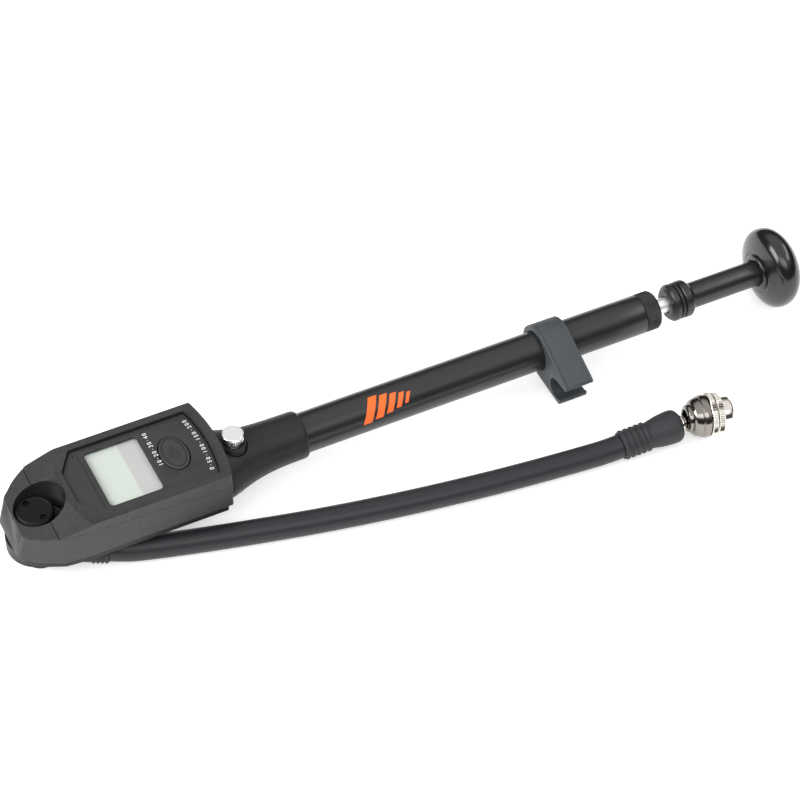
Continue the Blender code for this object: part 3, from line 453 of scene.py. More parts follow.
class Finishes:
    """Makes each finish once and hands out the same material after that."""

    def __init__(self):
        self.made = {}
        self.grain = make_grain_group()
        self.handling_and_shade = make_handling_and_shade_group()
        self.rub = make_rub_group()
        self.lathe = make_lathe_group()

    def __getitem__(self, name):
        if name not in self.made:
            material, shader, tint = self.start(name, **FINISHES[name])
            if name == "display":
                tint = self.strip(material.node_tree, tint)
            material.node_tree.links.new(tint, shader.inputs["Base Color"])
            self.made[name] = material
        return self.made[name]

    def start(self, name, colour, roughness, metallic=0.0, lift=1.0, grain=3000.0, bump=0.1,
              depth=0.00002, gloss_change=0.06, tone_change=0.05, rings=0.0, worn=None, sockets=None,
              blended=False):
        """A Principled material with grain, painted shade in the grain's hollows, marks of use and,
        where asked, rings or rubbed edges. Its colour is left open, so that more can be laid over it."""
        if isinstance(colour, str):
            colour = [level * lift for level in getattr(bpy.context.scene.pump_colours, colour)]
        material = bpy.data.materials.new(name)
        material.use_nodes = True
        if blended:
            material.surface_render_method = "BLENDED"
        tree = material.node_tree
        shader = tree.nodes["Principled BSDF"]
        shader.inputs["Metallic"].default_value = metallic
        for title, value in (sockets or {}).items():
            shader.inputs[title].default_value = value
        places = tree.nodes.new("ShaderNodeTexCoord")
        vector = places.outputs["Object"]
        grained = add_group(tree, self.grain, vector, Scale=grain)
        handled_and_shaded = add_group(
            tree, self.handling_and_shade, vector, Colour=(*colour, 1.0), Roughness=roughness,
            Gloss_Change=gloss_change, Tone_Change=tone_change)
        # Painted shade: the grain's hollows darken the colour
        tree.links.new(grained.outputs["Hollows"], handled_and_shaded.inputs["Mask"])
        tree.links.new(handled_and_shaded.outputs["Roughness"], shader.inputs["Roughness"])
        tint = handled_and_shaded.outputs["Colour"]
        if worn:
            rubbed = add_group(tree, self.rub, vector)
            tint = mixed(tree, rubbed.outputs["Mask"], tint, (*worn, 1.0))
        relief = tree.nodes.new("ShaderNodeBump")
        relief.inputs["Strength"].default_value = bump
        relief.inputs["Distance"].default_value = depth
        height = grained.outputs["Height"]
        if rings:
            turned = add_group(tree, self.lathe, places.outputs["UV"], Rings=rings)
            height = turned.outputs["Height"]
        tree.links.new(height, relief.inputs["Height"])
        tree.links.new(relief.outputs["Normal"], shader.inputs["Normal"])
        return material, shader, tint

    def strip(self, tree, tint):
        """The greyer strip at the right end of the display's pale viewing area."""
        places = tree.nodes.new("ShaderNodeTexCoord")
        split = tree.nodes.new("ShaderNodeSeparateXYZ")
        tree.links.new(places.outputs["Object"], split.inputs[0])
        edge_x = ORIGIN.x + (WINDOW[1] - STRIP_WIDTH) * MM
        blur = STRIP_BLUR * MM
        beyond = map_range(tree, split.outputs["X"], edge_x - blur, edge_x + blur, 0.0, 1.0)
        return mixed(tree, beyond, tint, STRIP_COLOUR)


# ---------------------------------------------------------------- outlines and meshes

def place(point):
    """A point of the pump frame, in millimetres, as a point of the scene."""
    return ORIGIN + Vector(point) * MM


def heading(yaw, pitch=0.0):
    """The direction at an angle round from the barrel's and another up from the table."""
    return Vector((math.cos(pitch) * math.cos(yaw), math.cos(pitch) * math.sin(yaw), math.sin(pitch)))


HOSE_EXIT_ALONG = heading(HOSE_EXIT_YAW)
FAR_ALONG = heading(FAR_BOOT_YAW, FAR_BOOT_PITCH)
BALL_CENTRE = FAR_BOOT_AT + FAR_ALONG * BALL_STATION
CHUCK_ALONG = heading(CHUCK_YAW, CHUCK_PITCH)


def filleted(corners, segments=4):
    """Rounds a closed polygon given as (x, y, radius) corners."""
    outline = []
    count = len(corners)
    for index, (x, y, radius) in enumerate(corners):
        corner = Vector((x, y))
        if radius <= 0.0:
            outline.append(corner)
            continue
        before = (Vector(corners[index - 1][:2]) - corner).normalized()
        after = (Vector(corners[(index + 1) % count][:2]) - corner).normalized()
        half = before.angle(after) / 2.0
        reach = radius / math.tan(half)
        centre = corner + (before + after).normalized() * (radius / math.sin(half))
        first = corner + before * reach - centre
        last = corner + after * reach - centre
        turn = first.angle_signed(last)
        for step in range(segments + 1):
            outline.append(centre + Matrix.Rotation(-turn * step / segments, 2) @ first)
    return outline


def arc(centre, radius, start, end, segments):
    """Points of an arc between two angles in degrees."""
    points = []
    for step in range(segments + 1):
        angle = math.radians(start + (end - start) * step / segments)
        spot = (centre[0] + radius * math.cos(angle), centre[1] + radius * math.sin(angle))
        points.append(Vector(spot))
    return points


def oval(centre_x, half_x, half_y, points=64):
    """An upright oval on the pump's middle line."""
    ring = []
    for step in range(points):
        angle = TAU * step / points
        ring.append(Vector((centre_x + half_x * math.cos(angle), half_y * math.sin(angle))))
    return ring


def smoothed(points, steps=5):
    """A Catmull-Rom curve through 2D or 3D points."""
    points = [Vector(point) for point in points]
    ends = [points[0] * 2.0 - points[1]] + points + [points[-1] * 2.0 - points[-2]]
    fine = []
    for a, b, c, d in zip(ends, ends[1:], ends[2:], ends[3:]):
        for step in range(steps):
            t = step / steps
            fine.append(0.5 * (b * 2.0 + (c - a) * t + (a * 2.0 - b * 5.0 + c * 4.0 - d) * t * t
                               + (b * 3.0 - a - c * 3.0 + d) * t * t * t))
    fine.append(points[-1])
    return fine


def evenly(points, count):
    """Points at even steps of length along a line."""
    travelled = [0.0]
    for a, b in zip(points, points[1:]):
        travelled.append(travelled[-1] + (b - a).length)
    even = []
    index = 0
    for step in range(count):
        target = travelled[-1] * step / (count - 1)
        while index < len(points) - 2 and travelled[index + 1] < target:
            index += 1
        share = (target - travelled[index]) / (travelled[index + 1] - travelled[index])
        even.append(points[index].lerp(points[index + 1], share))
    return even


def filled_rows(profile, spacing):
    """Adds rows to a profile wherever two of its points are further apart than the spacing."""
    profile = [Vector(point) for point in profile]
    rows = [profile[0]]
    for a, b in zip(profile, profile[1:]):
        parts = max(1, int(math.ceil((b - a).length / spacing)))
        for step in range(1, parts + 1):
            rows.append(a.lerp(b, step / parts))
    return rows


def turned_mesh(name, profile, at=(0, 0, 0), along=X_AXIS, sides=96, sharp=32.0):
    """Turns (station, radius) points about a line.  Ends on the line close the piece, and a profile
    that keeps off it is a ring.  The mesh carries station, turn, reach and outward for patterns."""
    profile = [Vector(point) for point in profile]
    mesh = bpy.data.meshes.new(name)
    shape = bmesh.new()
    station_layer = shape.verts.layers.float.new("station")
    turn_layer = shape.verts.layers.float.new("turn")
    reach_layer = shape.verts.layers.float.new("reach")
    outward_layer = shape.verts.layers.float_vector.new("outward")
    uv_layer = shape.loops.layers.uv.new("turned")
    facing = Vector(along).to_track_quat("Z", "X").to_matrix()
    base = Vector(at)
    on_axis = 0.0001
    rings = []
    for station, radius in profile:
        count = 1 if radius < on_axis else sides
        ring = []
        for step in range(count):
            angle = TAU * step / sides
            out = facing @ Vector((math.cos(angle), math.sin(angle), 0.0))
            vertex = shape.verts.new(place(base + facing @ Vector((0, 0, station)) + out * radius))
            vertex[station_layer] = station
            vertex[turn_layer] = step / sides
            vertex[reach_layer] = radius
            vertex[outward_layer] = out
            ring.append(vertex)
        rings.append(ring)
    pairs = list(zip(rings, rings[1:]))
    if profile[0][1] > on_axis and profile[-1][1] > on_axis:
        pairs.append((rings[-1], rings[0]))
    for near, far in pairs:
        if len(near) == 1 and len(far) == 1:
            continue
        for step in range(sides):
            after = (step + 1) % sides
            corners = [(near[step % len(near)], step), (near[after % len(near)], step + 1),
                       (far[after % len(far)], step + 1), (far[step % len(far)], step)]
            if len(near) == 1:
                corners.pop(1)
            if len(far) == 1:
                corners.pop(2)
            face = shape.faces.new([vertex for vertex, _ in corners])
            face.smooth = True
            for loop, (vertex, turn) in zip(face.loops, corners):
                loop[uv_layer].uv = (turn / sides, vertex[station_layer])
    bmesh.ops.recalc_face_normals(shape, faces=shape.faces)
    shape.to_mesh(mesh)
    shape.free()
    mesh.set_sharp_from_angle(angle=math.radians(sharp))
    return mesh


def rounded(profile, segments=3):
    """The (station, radius, rounding) corners of a turned profile, with its corners rounded."""
    return filleted(profile, segments)


def loft_mesh(name, *solids):
    """One or more closed solids, each given by its sections: rings of as many points each."""
    mesh = bpy.data.meshes.new(name)
    shape = bmesh.new()
    for sections in solids:
        rings = [[shape.verts.new(place(point)) for point in section] for section in sections]
        for near, far in zip(rings, rings[1:]):
            for step in range(len(near)):
                after = (step + 1) % len(near)
                shape.faces.new((near[step], near[after], far[after], far[step]))
        shape.faces.new(rings[0])
        shape.faces.new(rings[-1])
    bmesh.ops.recalc_face_normals(shape, faces=shape.faces)
    shape.to_mesh(mesh)
    shape.free()
    return mesh


def prism_mesh(name, low_outline, low, high_outline, high):
    """A solid between two outlines with as many points, at two heights."""
    bottom = [(x, y, low) for x, y in low_outline]
    top = [(x, y, high) for x, y in high_outline]
    return loft_mesh(name, [bottom, top])


def side_slab_mesh(name, outline):
    """A solid whose outline is given as (x, z), from past one side of the head to past the other."""
    near = [(x, -CUT_SIDE, z) for x, z in outline]
    far = [(x, CUT_SIDE, z) for x, z in outline]
    return loft_mesh(name, [near, far])


def outline_mesh(name, outlines, low, high, rounding=0.0, turn=None):
    """A flat outline, with holes if more than one is given, between two heights, edges rounded."""
    curve = bpy.data.curves.new(name, "CURVE")
    curve.dimensions = "2D"
    curve.fill_mode = "BOTH"
    curve.extrude = (high - low) / 2.0 * MM - rounding * MM
    curve.bevel_depth = rounding * MM
    curve.bevel_resolution = 2
    curve.offset = -rounding * MM
    for outline in outlines:
        spline = curve.splines.new("POLY")
        spline.points.add(len(outline) - 1)
        spline.use_cyclic_u = True
        for point, spot in zip(spline.points, outline):
            point.co = (spot[0] * MM, spot[1] * MM, 0.0, 1.0)
    source = bpy.data.objects.new(name + "_outline", curve)
    bpy.context.scene.collection.objects.link(source)
    mesh = plain_mesh(source, name)
    lift = Matrix.Translation((0.0, 0.0, (low + high) / 2.0 * MM))
    mesh.transform(Matrix.Translation(ORIGIN) @ (turn or Matrix.Identity(4)) @ lift)
    weld(mesh, 0.000002)
    return mesh


def plain_mesh(source, name):
    """The mesh of an object as its modifiers leave it; the object itself goes."""
    bpy.context.view_layer.update()
    evaluated = source.evaluated_get(bpy.context.evaluated_depsgraph_get())
    mesh = bpy.data.meshes.new_from_object(evaluated)
    mesh.name = name
    mesh.materials.clear()
    bpy.data.objects.remove(source)
    return mesh


def weld(mesh, distance):
    """Joins points of a mesh that lie closer than a distance, and turns its faces outward."""
    shape = bmesh.new()
    shape.from_mesh(mesh)
    bmesh.ops.remove_doubles(shape, verts=shape.verts, dist=distance)
    bmesh.ops.recalc_face_normals(shape, faces=shape.faces)
    shape.to_mesh(mesh)
    shape.free()


def shade(mesh, angle):
    """Smooth shading that keeps the edges sharp that bend more than an angle in degrees."""
    mesh.shade_smooth()
    mesh.set_sharp_from_angle(angle=math.radians(angle))


def temporary(mesh):
    """An object for a mesh, in the scene until its maker removes it."""
    item = bpy.data.objects.new(mesh.name, mesh)
    bpy.context.scene.collection.objects.link(item)
    return item


def shaped(mesh, steps, name=None):
    """Joins and cuts a mesh with others: steps are (operation, mesh), worked in order."""
    item = temporary(mesh)
    tools = []
    for operation, tool_mesh in steps:
        tool = temporary(tool_mesh)
        tools.append(tool)
        modifier = item.modifiers.new(operation.lower(), "BOOLEAN")
        modifier.operation = operation
        modifier.solver = "EXACT"
        modifier.object = tool
    result = plain_mesh(item, name or mesh.name)
    for tool in tools:
        bpy.data.objects.remove(tool)
    return result


def softened(mesh, width, segments=3, angle=28.0):
    """Rounds the edges that bend more than an angle and shades the faces by their size."""
    item = temporary(mesh)
    edge = item.modifiers.new("edge", "BEVEL")
    edge.width = width
    edge.segments = segments
    edge.limit_method = "ANGLE"
    edge.angle_limit = math.radians(angle)
    edge.miter_outer = "MITER_ARC"
    edge.use_clamp_overlap = True
    result = plain_mesh(item, mesh.name)
    shade(result, 38.0)
    item = temporary(result)
    weighted = item.modifiers.new("weighted", "WEIGHTED_NORMAL")
    weighted.keep_sharp = True
    weighted.weight = 80
    return plain_mesh(item, mesh.name)


def piece(name, mesh, body, finish, slot, *nodes):
    """Puts a finished mesh in the scene on its body, standing for its CAD nodes."""
    item = temporary(mesh)
    item.name = name
    mesh.materials.clear()
    mesh.materials.append(finishes[finish])
    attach(item, body)
    if nodes:
        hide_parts(*nodes)
    return item


def turned_piece(node, profile, body, finish, slot, **how):
    """A turned mesh that stands for one CAD node."""
    return piece(node + "_fine", turned_mesh(node + "_fine", profile, **how), body, finish, slot, node)


# ---------------------------------------------------------------- geometry node trees

def new_tree(name, inputs):
    """A geometry node tree with the inputs asked for, and its two end nodes."""
    tree = bpy.data.node_groups.new(name, "GeometryNodeTree")
    kinds = {"geometry": "NodeSocketGeometry", "value": "NodeSocketFloat", "whole": "NodeSocketInt",
             "material": "NodeSocketMaterial", "object": "NodeSocketObject"}
    tree.interface.new_socket(name="Geometry", in_out="OUTPUT", socket_type="NodeSocketGeometry")
    for title, kind in inputs:
        tree.interface.new_socket(name=title, in_out="INPUT", socket_type=kinds[kind])
    return tree, tree.nodes.new("NodeGroupInput"), tree.nodes.new("NodeGroupOutput")


def named_value(tree, name, kind="FLOAT"):
    """What a turned mesh carries under a name at each point."""
    node = tree.nodes.new("GeometryNodeInputNamedAttribute")
    node.data_type = kind
    node.inputs["Name"].default_value = name
    return socket(node, "Attribute", "outputs")


def finish_tree(tree, geometry, start, end):
    """Every tree ends in plain geometry with its material."""
    real = tree.nodes.new("GeometryNodeRealizeInstances")
    tree.links.new(geometry, real.inputs[0])
    painted = tree.nodes.new("GeometryNodeSetMaterial")
    tree.links.new(real.outputs[0], painted.inputs["Geometry"])
    tree.links.new(start.outputs["Material"], painted.inputs["Material"])
    tree.links.new(painted.outputs[0], end.inputs[0])


def inside_window(tree, value, low, high, margin):
    """1 between low and high, falling to 0 over the margin."""
    rise = math_node(tree, "SUBTRACT", value, low)
    rise = math_node(tree, "DIVIDE", rise, margin)
    fall = math_node(tree, "SUBTRACT", high, value)
    fall = math_node(tree, "DIVIDE", fall, margin)
    least = math_node(tree, "MINIMUM", rise, fall)
    return map_range(tree, least, 0.0, 1.0, 0.0, 1.0)


def push_out(tree, start, end, height):
    """Moves each point along its outward direction by a height in millimetres."""
    reach = named_value(tree, "reach")
    window = inside_window(tree, reach, start.outputs["Reach From"], start.outputs["Reach To"], 0.01)
    lifted = math_node(tree, "MULTIPLY", height, window)
    lifted = math_node(tree, "MULTIPLY", lifted, MM)
    along = tree.nodes.new("ShaderNodeVectorMath")
    along.operation = "SCALE"
    tree.links.new(named_value(tree, "outward", "FLOAT_VECTOR"), along.inputs[0])
    tree.links.new(lifted, socket(along, "Scale"))
    moved = tree.nodes.new("GeometryNodeSetPosition")
    tree.links.new(start.outputs["Geometry"], moved.inputs["Geometry"])
    tree.links.new(along.outputs[0], moved.inputs["Offset"])
    finish_tree(tree, moved.outputs[0], start, end)


WINDOW_INPUTS = [("From", "value"), ("To", "value"), ("Reach From", "value"), ("Reach To", "value")]


def make_knurl_tree():
    """Teeth round a turned piece between two stations; a slant crosses them into diamonds."""
    tree, start, end = new_tree("knurl", [
        ("Geometry", "geometry"), ("Teeth", "whole"), ("Depth", "value"), ("Slant", "value"),
        ("Margin", "value"), *WINDOW_INPUTS, ("Material", "material")])
    turn = math_node(tree, "MULTIPLY", named_value(tree, "turn"), start.outputs["Teeth"])
    station = named_value(tree, "station")
    slant = math_node(tree, "MULTIPLY", station, start.outputs["Slant"])
    left = math_node(tree, "PINGPONG", math_node(tree, "ADD", turn, slant), 0.5)
    right = math_node(tree, "PINGPONG", math_node(tree, "SUBTRACT", turn, slant), 0.5)
    crossed = math_node(tree, "MINIMUM", left, right)
    height = math_node(tree, "MULTIPLY", crossed, 2.0)
    height = math_node(tree, "MULTIPLY", height, start.outputs["Depth"])
    window = inside_window(
        tree, station, start.outputs["From"], start.outputs["To"], start.outputs["Margin"])
    push_out(tree, start, end, math_node(tree, "MULTIPLY", height, window))
    return tree


def make_rib_tree():
    """Round ribs that follow each other at a pitch along a turned piece."""
    tree, start, end = new_tree("ribs", [
        ("Geometry", "geometry"), ("Pitch", "value"), ("Width", "value"), ("Height", "value"),
        *WINDOW_INPUTS, ("Material", "material")])
    station = named_value(tree, "station")
    steps = math_node(tree, "SUBTRACT", station, start.outputs["From"])
    steps = math_node(tree, "DIVIDE", steps, start.outputs["Pitch"])
    off = math_node(tree, "ABSOLUTE", math_node(tree, "SUBTRACT", math_node(tree, "FRACT", steps), 0.5))
    off = math_node(tree, "MULTIPLY", off, start.outputs["Pitch"])
    half = math_node(tree, "MULTIPLY", start.outputs["Width"], 0.5)
    crest = map_range(tree, off, math_node(tree, "MULTIPLY", half, 0.45), half, 1.0, 0.0)
    height = math_node(tree, "MULTIPLY", crest, start.outputs["Height"])
    window = inside_window(tree, station, start.outputs["From"], start.outputs["To"], 0.02)
    push_out(tree, start, end, math_node(tree, "MULTIPLY", height, window))
    return tree


def make_scatter_tree():
    """A copy of one piece on each point of a mesh."""
    tree, start, end = new_tree("copies", [
        ("Geometry", "geometry"), ("Piece", "object"), ("Material", "material")])
    source = tree.nodes.new("GeometryNodeObjectInfo")
    tree.links.new(start.outputs["Piece"], source.inputs["Object"])
    spread = tree.nodes.new("GeometryNodeInstanceOnPoints")
    tree.links.new(start.outputs["Geometry"], spread.inputs["Points"])
    tree.links.new(source.outputs["Geometry"], spread.inputs["Instance"])
    finish_tree(tree, spread.outputs[0], start, end)
    return tree


def through_tree(mesh, tree, finish, sharp=None, **values):
    """Runs a mesh through a tree, with the tree's inputs given by name, and keeps a plain mesh."""
    item = temporary(mesh)
    modifier = item.modifiers.new(tree.name, "NODES")
    modifier.node_group = tree
    values = {name.replace("_", " "): value for name, value in values.items()}
    values["Material"] = finishes[finish]
    for entry in tree.interface.items_tree:
        if entry.in_out == "INPUT" and entry.name in values:
            modifier[entry.identifier] = values[entry.name]
    result = plain_mesh(item, mesh.name)
    if sharp is not None:
        shade(result, sharp)
    return result


finishes = None
trees = {}


def prepare():
    """Makes the finishes and the node trees, once."""
    global finishes
    if finishes is None:
        finishes = Finishes()
        trees["knurl"] = make_knurl_tree()
        trees["ribs"] = make_rib_tree()
        trees["copies"] = make_scatter_tree()


# ---------------------------------------------------------------- shapes of the gauge head

def case_outline(inset, height):
    """The gauge case seen from above at a height; its nose leans back towards the top."""
    half = HEAD_HALF_WIDTH - inset
    right = HEAD_RIGHT_CORNER - inset
    nose = NOSE_FOOT + NOSE_LEAN * (height - HEAD_BOTTOM) + inset
    steps = 16
    outline = [(right, -half, 0.7)]
    for step in range(1, steps):
        share = -1.0 + 2.0 * step / steps
        outline.append((right + HEAD_RIGHT_BULGE * (1.0 - share * share), half * share, 0.0))
    flat = NOSE_HALF_WIDTH - inset * 0.4
    shoulder = SHOULDER_X + inset * 0.5
    swell = 0.9
    step_in = 0.8
    between = Vector((nose - shoulder, flat - half + step_in))
    out = Vector((between.y, -between.x)).normalized() * swell
    middle = Vector((shoulder, half - step_in)) + between / 2.0 + (out if out.y > 0 else -out)
    outline += [
        (right, half, 0.7), (STRAIGHT_END, half, 12.0), (shoulder, half - step_in, 4.5),
        (middle.x, middle.y, 14.0), (nose, flat, 3.0), (nose, -flat, 3.0),
        (middle.x, -middle.y, 14.0), (shoulder, -half + step_in, 4.5), (STRAIGHT_END, -half, 12.0)]
    return filleted(outline)


def case_prism(name, inset, low, high):
    """The case's outline, drawn in by an inset, between two heights."""
    return prism_mesh(name, case_outline(inset, low), low, case_outline(inset, high), high)


def panel_outline(inset):
    """The sunk instrument panel: bowed right end and a clipped left end."""
    half = PANEL_HALF_WIDTH - inset
    right = PANEL_RIGHT - inset
    left = PANEL_LEFT + inset
    steps = 16
    outline = [(right, -half, 0.6)]
    for step in range(1, steps):
        share = -1.0 + 2.0 * step / steps
        outline.append((right + PANEL_RIGHT_BULGE * (1.0 - share * share), half * share, 0.0))
    clipped = PANEL_CLIP + inset * 0.5
    outline += [(right, half, 0.6), (clipped, half, 1.5), (left, PANEL_LEFT_HALF, 2.0),
                (left, -PANEL_LEFT_HALF, 2.0), (clipped, -half, 1.5)]
    return filleted(outline)


def window_outline(grow, radius=1.6):
    """The display's window, grown on all sides."""
    left, right, half = WINDOW[0] - grow, WINDOW[1] + grow, WINDOW[2] + grow
    return filleted([(right, -half, radius), (right, half, radius), (left, half, radius),
                     (left, -half, radius)])


def box_outline(low_x, high_x, half, radius=1.0):
    """A rectangle with rounded corners, across the pump's middle line."""
    return filleted([(high_x, -half, radius), (high_x, half, radius), (low_x, half, radius),
                     (low_x, -half, radius)])


def facet_height(x):
    """The height of the nose facet, which falls away from the crease."""
    return CREASE_Z - FACET_SLOPE * (CREASE_X - x)


def seam_line(gap):
    """The (x, z) line where the two halves of the case meet, moved up by a gap."""
    drop = 0.22
    right, left = SEAM_SPAN
    return [
        (right, SEAM_RIGHT_Z + SEAM_SLOPE * (HEAD_RIGHT_CORNER - right) + gap),
        (CREASE_X, SEAM_RIGHT_Z + SEAM_SLOPE * (HEAD_RIGHT_CORNER - CREASE_X) + gap),
        (left, facet_height(left) - drop + gap)]


def rod_mesh(name, low, high, radius, at, along, sides=48):
    """A cylinder to join to a piece or cut from it."""
    return turned_mesh(name, [(high, 0.0), (high, radius), (low, radius), (low, 0.0)], at, along, sides)


def post_mesh(name, low, high, radius, at, sides=48):
    """An upright cylinder."""
    return rod_mesh(name, low, high, radius, at, Z_AXIS, sides)


def front_facet_mesh():
    """What is cut away over the front facet, whose upper edge bows round the well."""
    steps = 20
    half_width = 24.0
    edge_x = -90.8
    bow = 3.9
    bow_at = 18.0
    over = 1.3
    near_x = CREASE_X - 0.01
    rise = (HEAD_TOP - CREASE_Z) * over
    rows = []
    for step in range(steps + 1):
        y = -half_width + 2.0 * half_width * step / steps
        edge = edge_x + bow * (y / bow_at) ** 2
        far_x = CREASE_X + (edge - CREASE_X) * over
        rows.append([(near_x, y, CREASE_Z), (far_x, y, CREASE_Z + rise), (far_x, y, CUT_HIGH),
                     (near_x, y, CUT_HIGH)])
    return loft_mesh("front_facet", rows)


def nose_facet_mesh():
    """What is cut away over the facet in front of the crease."""
    return side_slab_mesh("nose_facet", [
        (CREASE_X, CREASE_Z), (CUT_NOSE, facet_height(CUT_NOSE)), (CUT_NOSE, CUT_HIGH),
        (CREASE_X, CUT_HIGH)])


# ---------------------------------------------------------------- operators

class PumpOperator:
    """What every step of the build shares."""

    bl_options = {"REGISTER", "UNDO"}

    def execute(self, context):
        prepare()
        self.build(context.scene)
        return {"FINISHED"}


class MakeStage(PumpOperator, bpy.types.Operator):
    """Camera, pale floor and soft studio light"""

    bl_idname = "shock_pump.make_stage"
    bl_label = "Stage"

    def build(self, scene):
        self.make_camera(scene)
        self.make_floor()
        self.make_lights(scene.pump_light)
        self.make_surround(scene)
        scene.view_settings.view_transform = "Standard"

    def make_camera(self, scene):
        """A long lens from above the pump's near side."""
        data = bpy.data.cameras.new("camera")
        data.lens = CAMERA_LENS
        data.sensor_width = 36.0
        data.clip_start = 0.05
        data.clip_end = 20.0
        camera = bpy.data.objects.new("camera", data)
        scene.collection.objects.link(camera)
        camera.location = place(CAMERA_AT)
        reach = math.cos(CAMERA_ELEVATION)
        look = Vector((-math.sin(CAMERA_AZIMUTH) * reach, math.cos(CAMERA_AZIMUTH) * reach,
                       -math.sin(CAMERA_ELEVATION)))
        roll = Matrix.Rotation(CAMERA_ROLL, 3, "Z").to_quaternion()
        camera.rotation_mode = "QUATERNION"
        camera.rotation_quaternion = look.to_track_quat("-Z", "Y") @ roll
        scene.camera = camera

    def make_floor(self):
        """A plain pale floor that glows a little, so that it stays even."""
        mesh = bpy.data.meshes.new("floor")
        half = 2.5
        mesh.from_pydata([(-half, -half, 0), (half, -half, 0), (half, half, 0), (-half, half, 0)], [],
                         [(0, 1, 2, 3)])
        floor = temporary(mesh)
        floor.name = "floor"
        material = bpy.data.materials.new("pale_floor")
        material.use_nodes = True
        shader = material.node_tree.nodes["Principled BSDF"]
        shader.inputs["Base Color"].default_value = (0.85, 0.85, 0.85, 1.0)
        shader.inputs["Emission Color"].default_value = (1.0, 1.0, 1.0, 1.0)
        shader.inputs["Emission Strength"].default_value = 0.45
        shader.inputs["Roughness"].default_value = 0.9
        shader.inputs["Specular IOR Level"].default_value = 0.1
        mesh.materials.append(material)

    def make_lights(self, light):
        """A broad box above the near side, a box past the gauge head and a strip past the knob."""
        boxes = [
            ("overhead_box", light.overhead, (-0.35, -0.85, 1.05), (0.0, 0.0, 0.0), 1.5, 0.55),
            ("left_box", light.left, (-1.2, 0.15, 0.75), (-0.05, 0.0, 0.0), 0.9, 0.7),
            ("side_strip", light.side, (0.9, -0.2, 0.9), (0.05, 0.0, 0.0), 0.9, 0.25),
        ]
        for name, power, at, target, width, height in boxes:
            data = bpy.data.lights.new(name, "AREA")
            data.shape = "RECTANGLE"
            data.size = width
            data.size_y = height
            data.energy = power
            lamp = bpy.data.objects.new(name, data)
            bpy.context.scene.collection.objects.link(lamp)
            lamp.location = at
            lamp.rotation_mode = "QUATERNION"
            lamp.rotation_quaternion = (Vector(target) - Vector(at)).to_track_quat("-Z", "Y")

    def make_surround(self, scene):
        """Even light from all round, darker low down for what shines, white behind the view."""
        world = bpy.data.worlds.new("studio")
        world.use_nodes = True
        scene.world = world
        tree = world.node_tree
        even = tree.nodes["Background"]
        even.inputs["Color"].default_value = (1.0, 1.0, 1.0, 1.0)
        even.inputs["Strength"].default_value = scene.pump_light.surround
        places = tree.nodes.new("ShaderNodeTexCoord")
        split = tree.nodes.new("ShaderNodeSeparateXYZ")
        tree.links.new(places.outputs["Generated"], split.inputs[0])
        shine = tree.nodes.new("ShaderNodeBackground")
        glow = map_range(tree, split.outputs["Z"], 0.35, 0.85, 0.05, 1.25)
        tree.links.new(glow, shine.inputs["Strength"])
        white = tree.nodes.new("ShaderNodeBackground")
        white.inputs["Strength"].default_value = 1.0
        path = tree.nodes.new("ShaderNodeLightPath")
        first = tree.nodes.new("ShaderNodeMixShader")
        tree.links.new(path.outputs["Is Glossy Ray"], first.inputs[0])
        tree.links.new(even.outputs[0], first.inputs[1])
        tree.links.new(shine.outputs[0], first.inputs[2])
        second = tree.nodes.new("ShaderNodeMixShader")
        tree.links.new(path.outputs["Is Camera Ray"], second.inputs[0])
        tree.links.new(first.outputs[0], second.inputs[1])
        tree.links.new(white.outputs[0], second.inputs[2])
        tree.links.new(second.outputs[0], tree.nodes["World Output"].inputs["Surface"])


class MakeBoots(PumpOperator, bpy.types.Operator):
    """Ribbed rubber boots at the hose's two ends"""

    bl_idname = "shock_pump.make_boots"
    bl_label = "Hose boots"

    def build(self, scene):
        height = scene.pump_sizes.rib_height / MM
        head = rounded([
            (BOOT_START, 2.2, 0.0), (BOOT_START, 4.9, 0.5), (18.0, 4.95, 0.0), (BOOT_END, 4.75, 0.25),
            (BOOT_END, 2.2, 0.0)])
        mesh = turned_mesh("head_boot_fine", filled_rows(head, 0.12), HOSE_EXIT, HOSE_EXIT_ALONG, 64)
        mesh = through_tree(mesh, trees["ribs"], "boot_rubber", 50.0, Pitch=1.55, Width=1.1,
                            Height=height * 0.8, From=18.1, To=24.3, Reach_From=4.0, Reach_To=9.0)
        piece("head_boot_fine", mesh, "hose", "boot_rubber", "rubber", "head_boot")
        length = FAR_BOOT_LENGTH
        sleeve = [(0.3, 2.2), (0.3, 4.7), (0.5, 4.95), (1.0, 5.0), (10.9, 5.0), (11.6, 5.02),
                  (12.4, 5.15), (14.0, 5.5), (16.0, 5.85), (18.5, 6.1), (20.6, 6.2), (21.9, 6.1),
                  (22.8, 5.75), (23.5, 5.15), (23.9, 4.45), (length, 4.0), (length, 2.2)]
        bend = [Vector(sleeve[0])] + smoothed(sleeve[1:-1], 4) + [Vector(sleeve[-1])]
        mesh = turned_mesh("far_boot_fine", filled_rows(bend, 0.15), FAR_BOOT_AT, FAR_ALONG, 72)
        mesh = through_tree(mesh, trees["ribs"], "boot_rubber", 50.0, Pitch=2.15, Width=1.5,
                            Height=height, From=0.3, To=11.05, Reach_From=4.5, Reach_To=9.0)
        piece("far_boot_fine", mesh, "hose", "boot_rubber", "rubber", "far_boot")


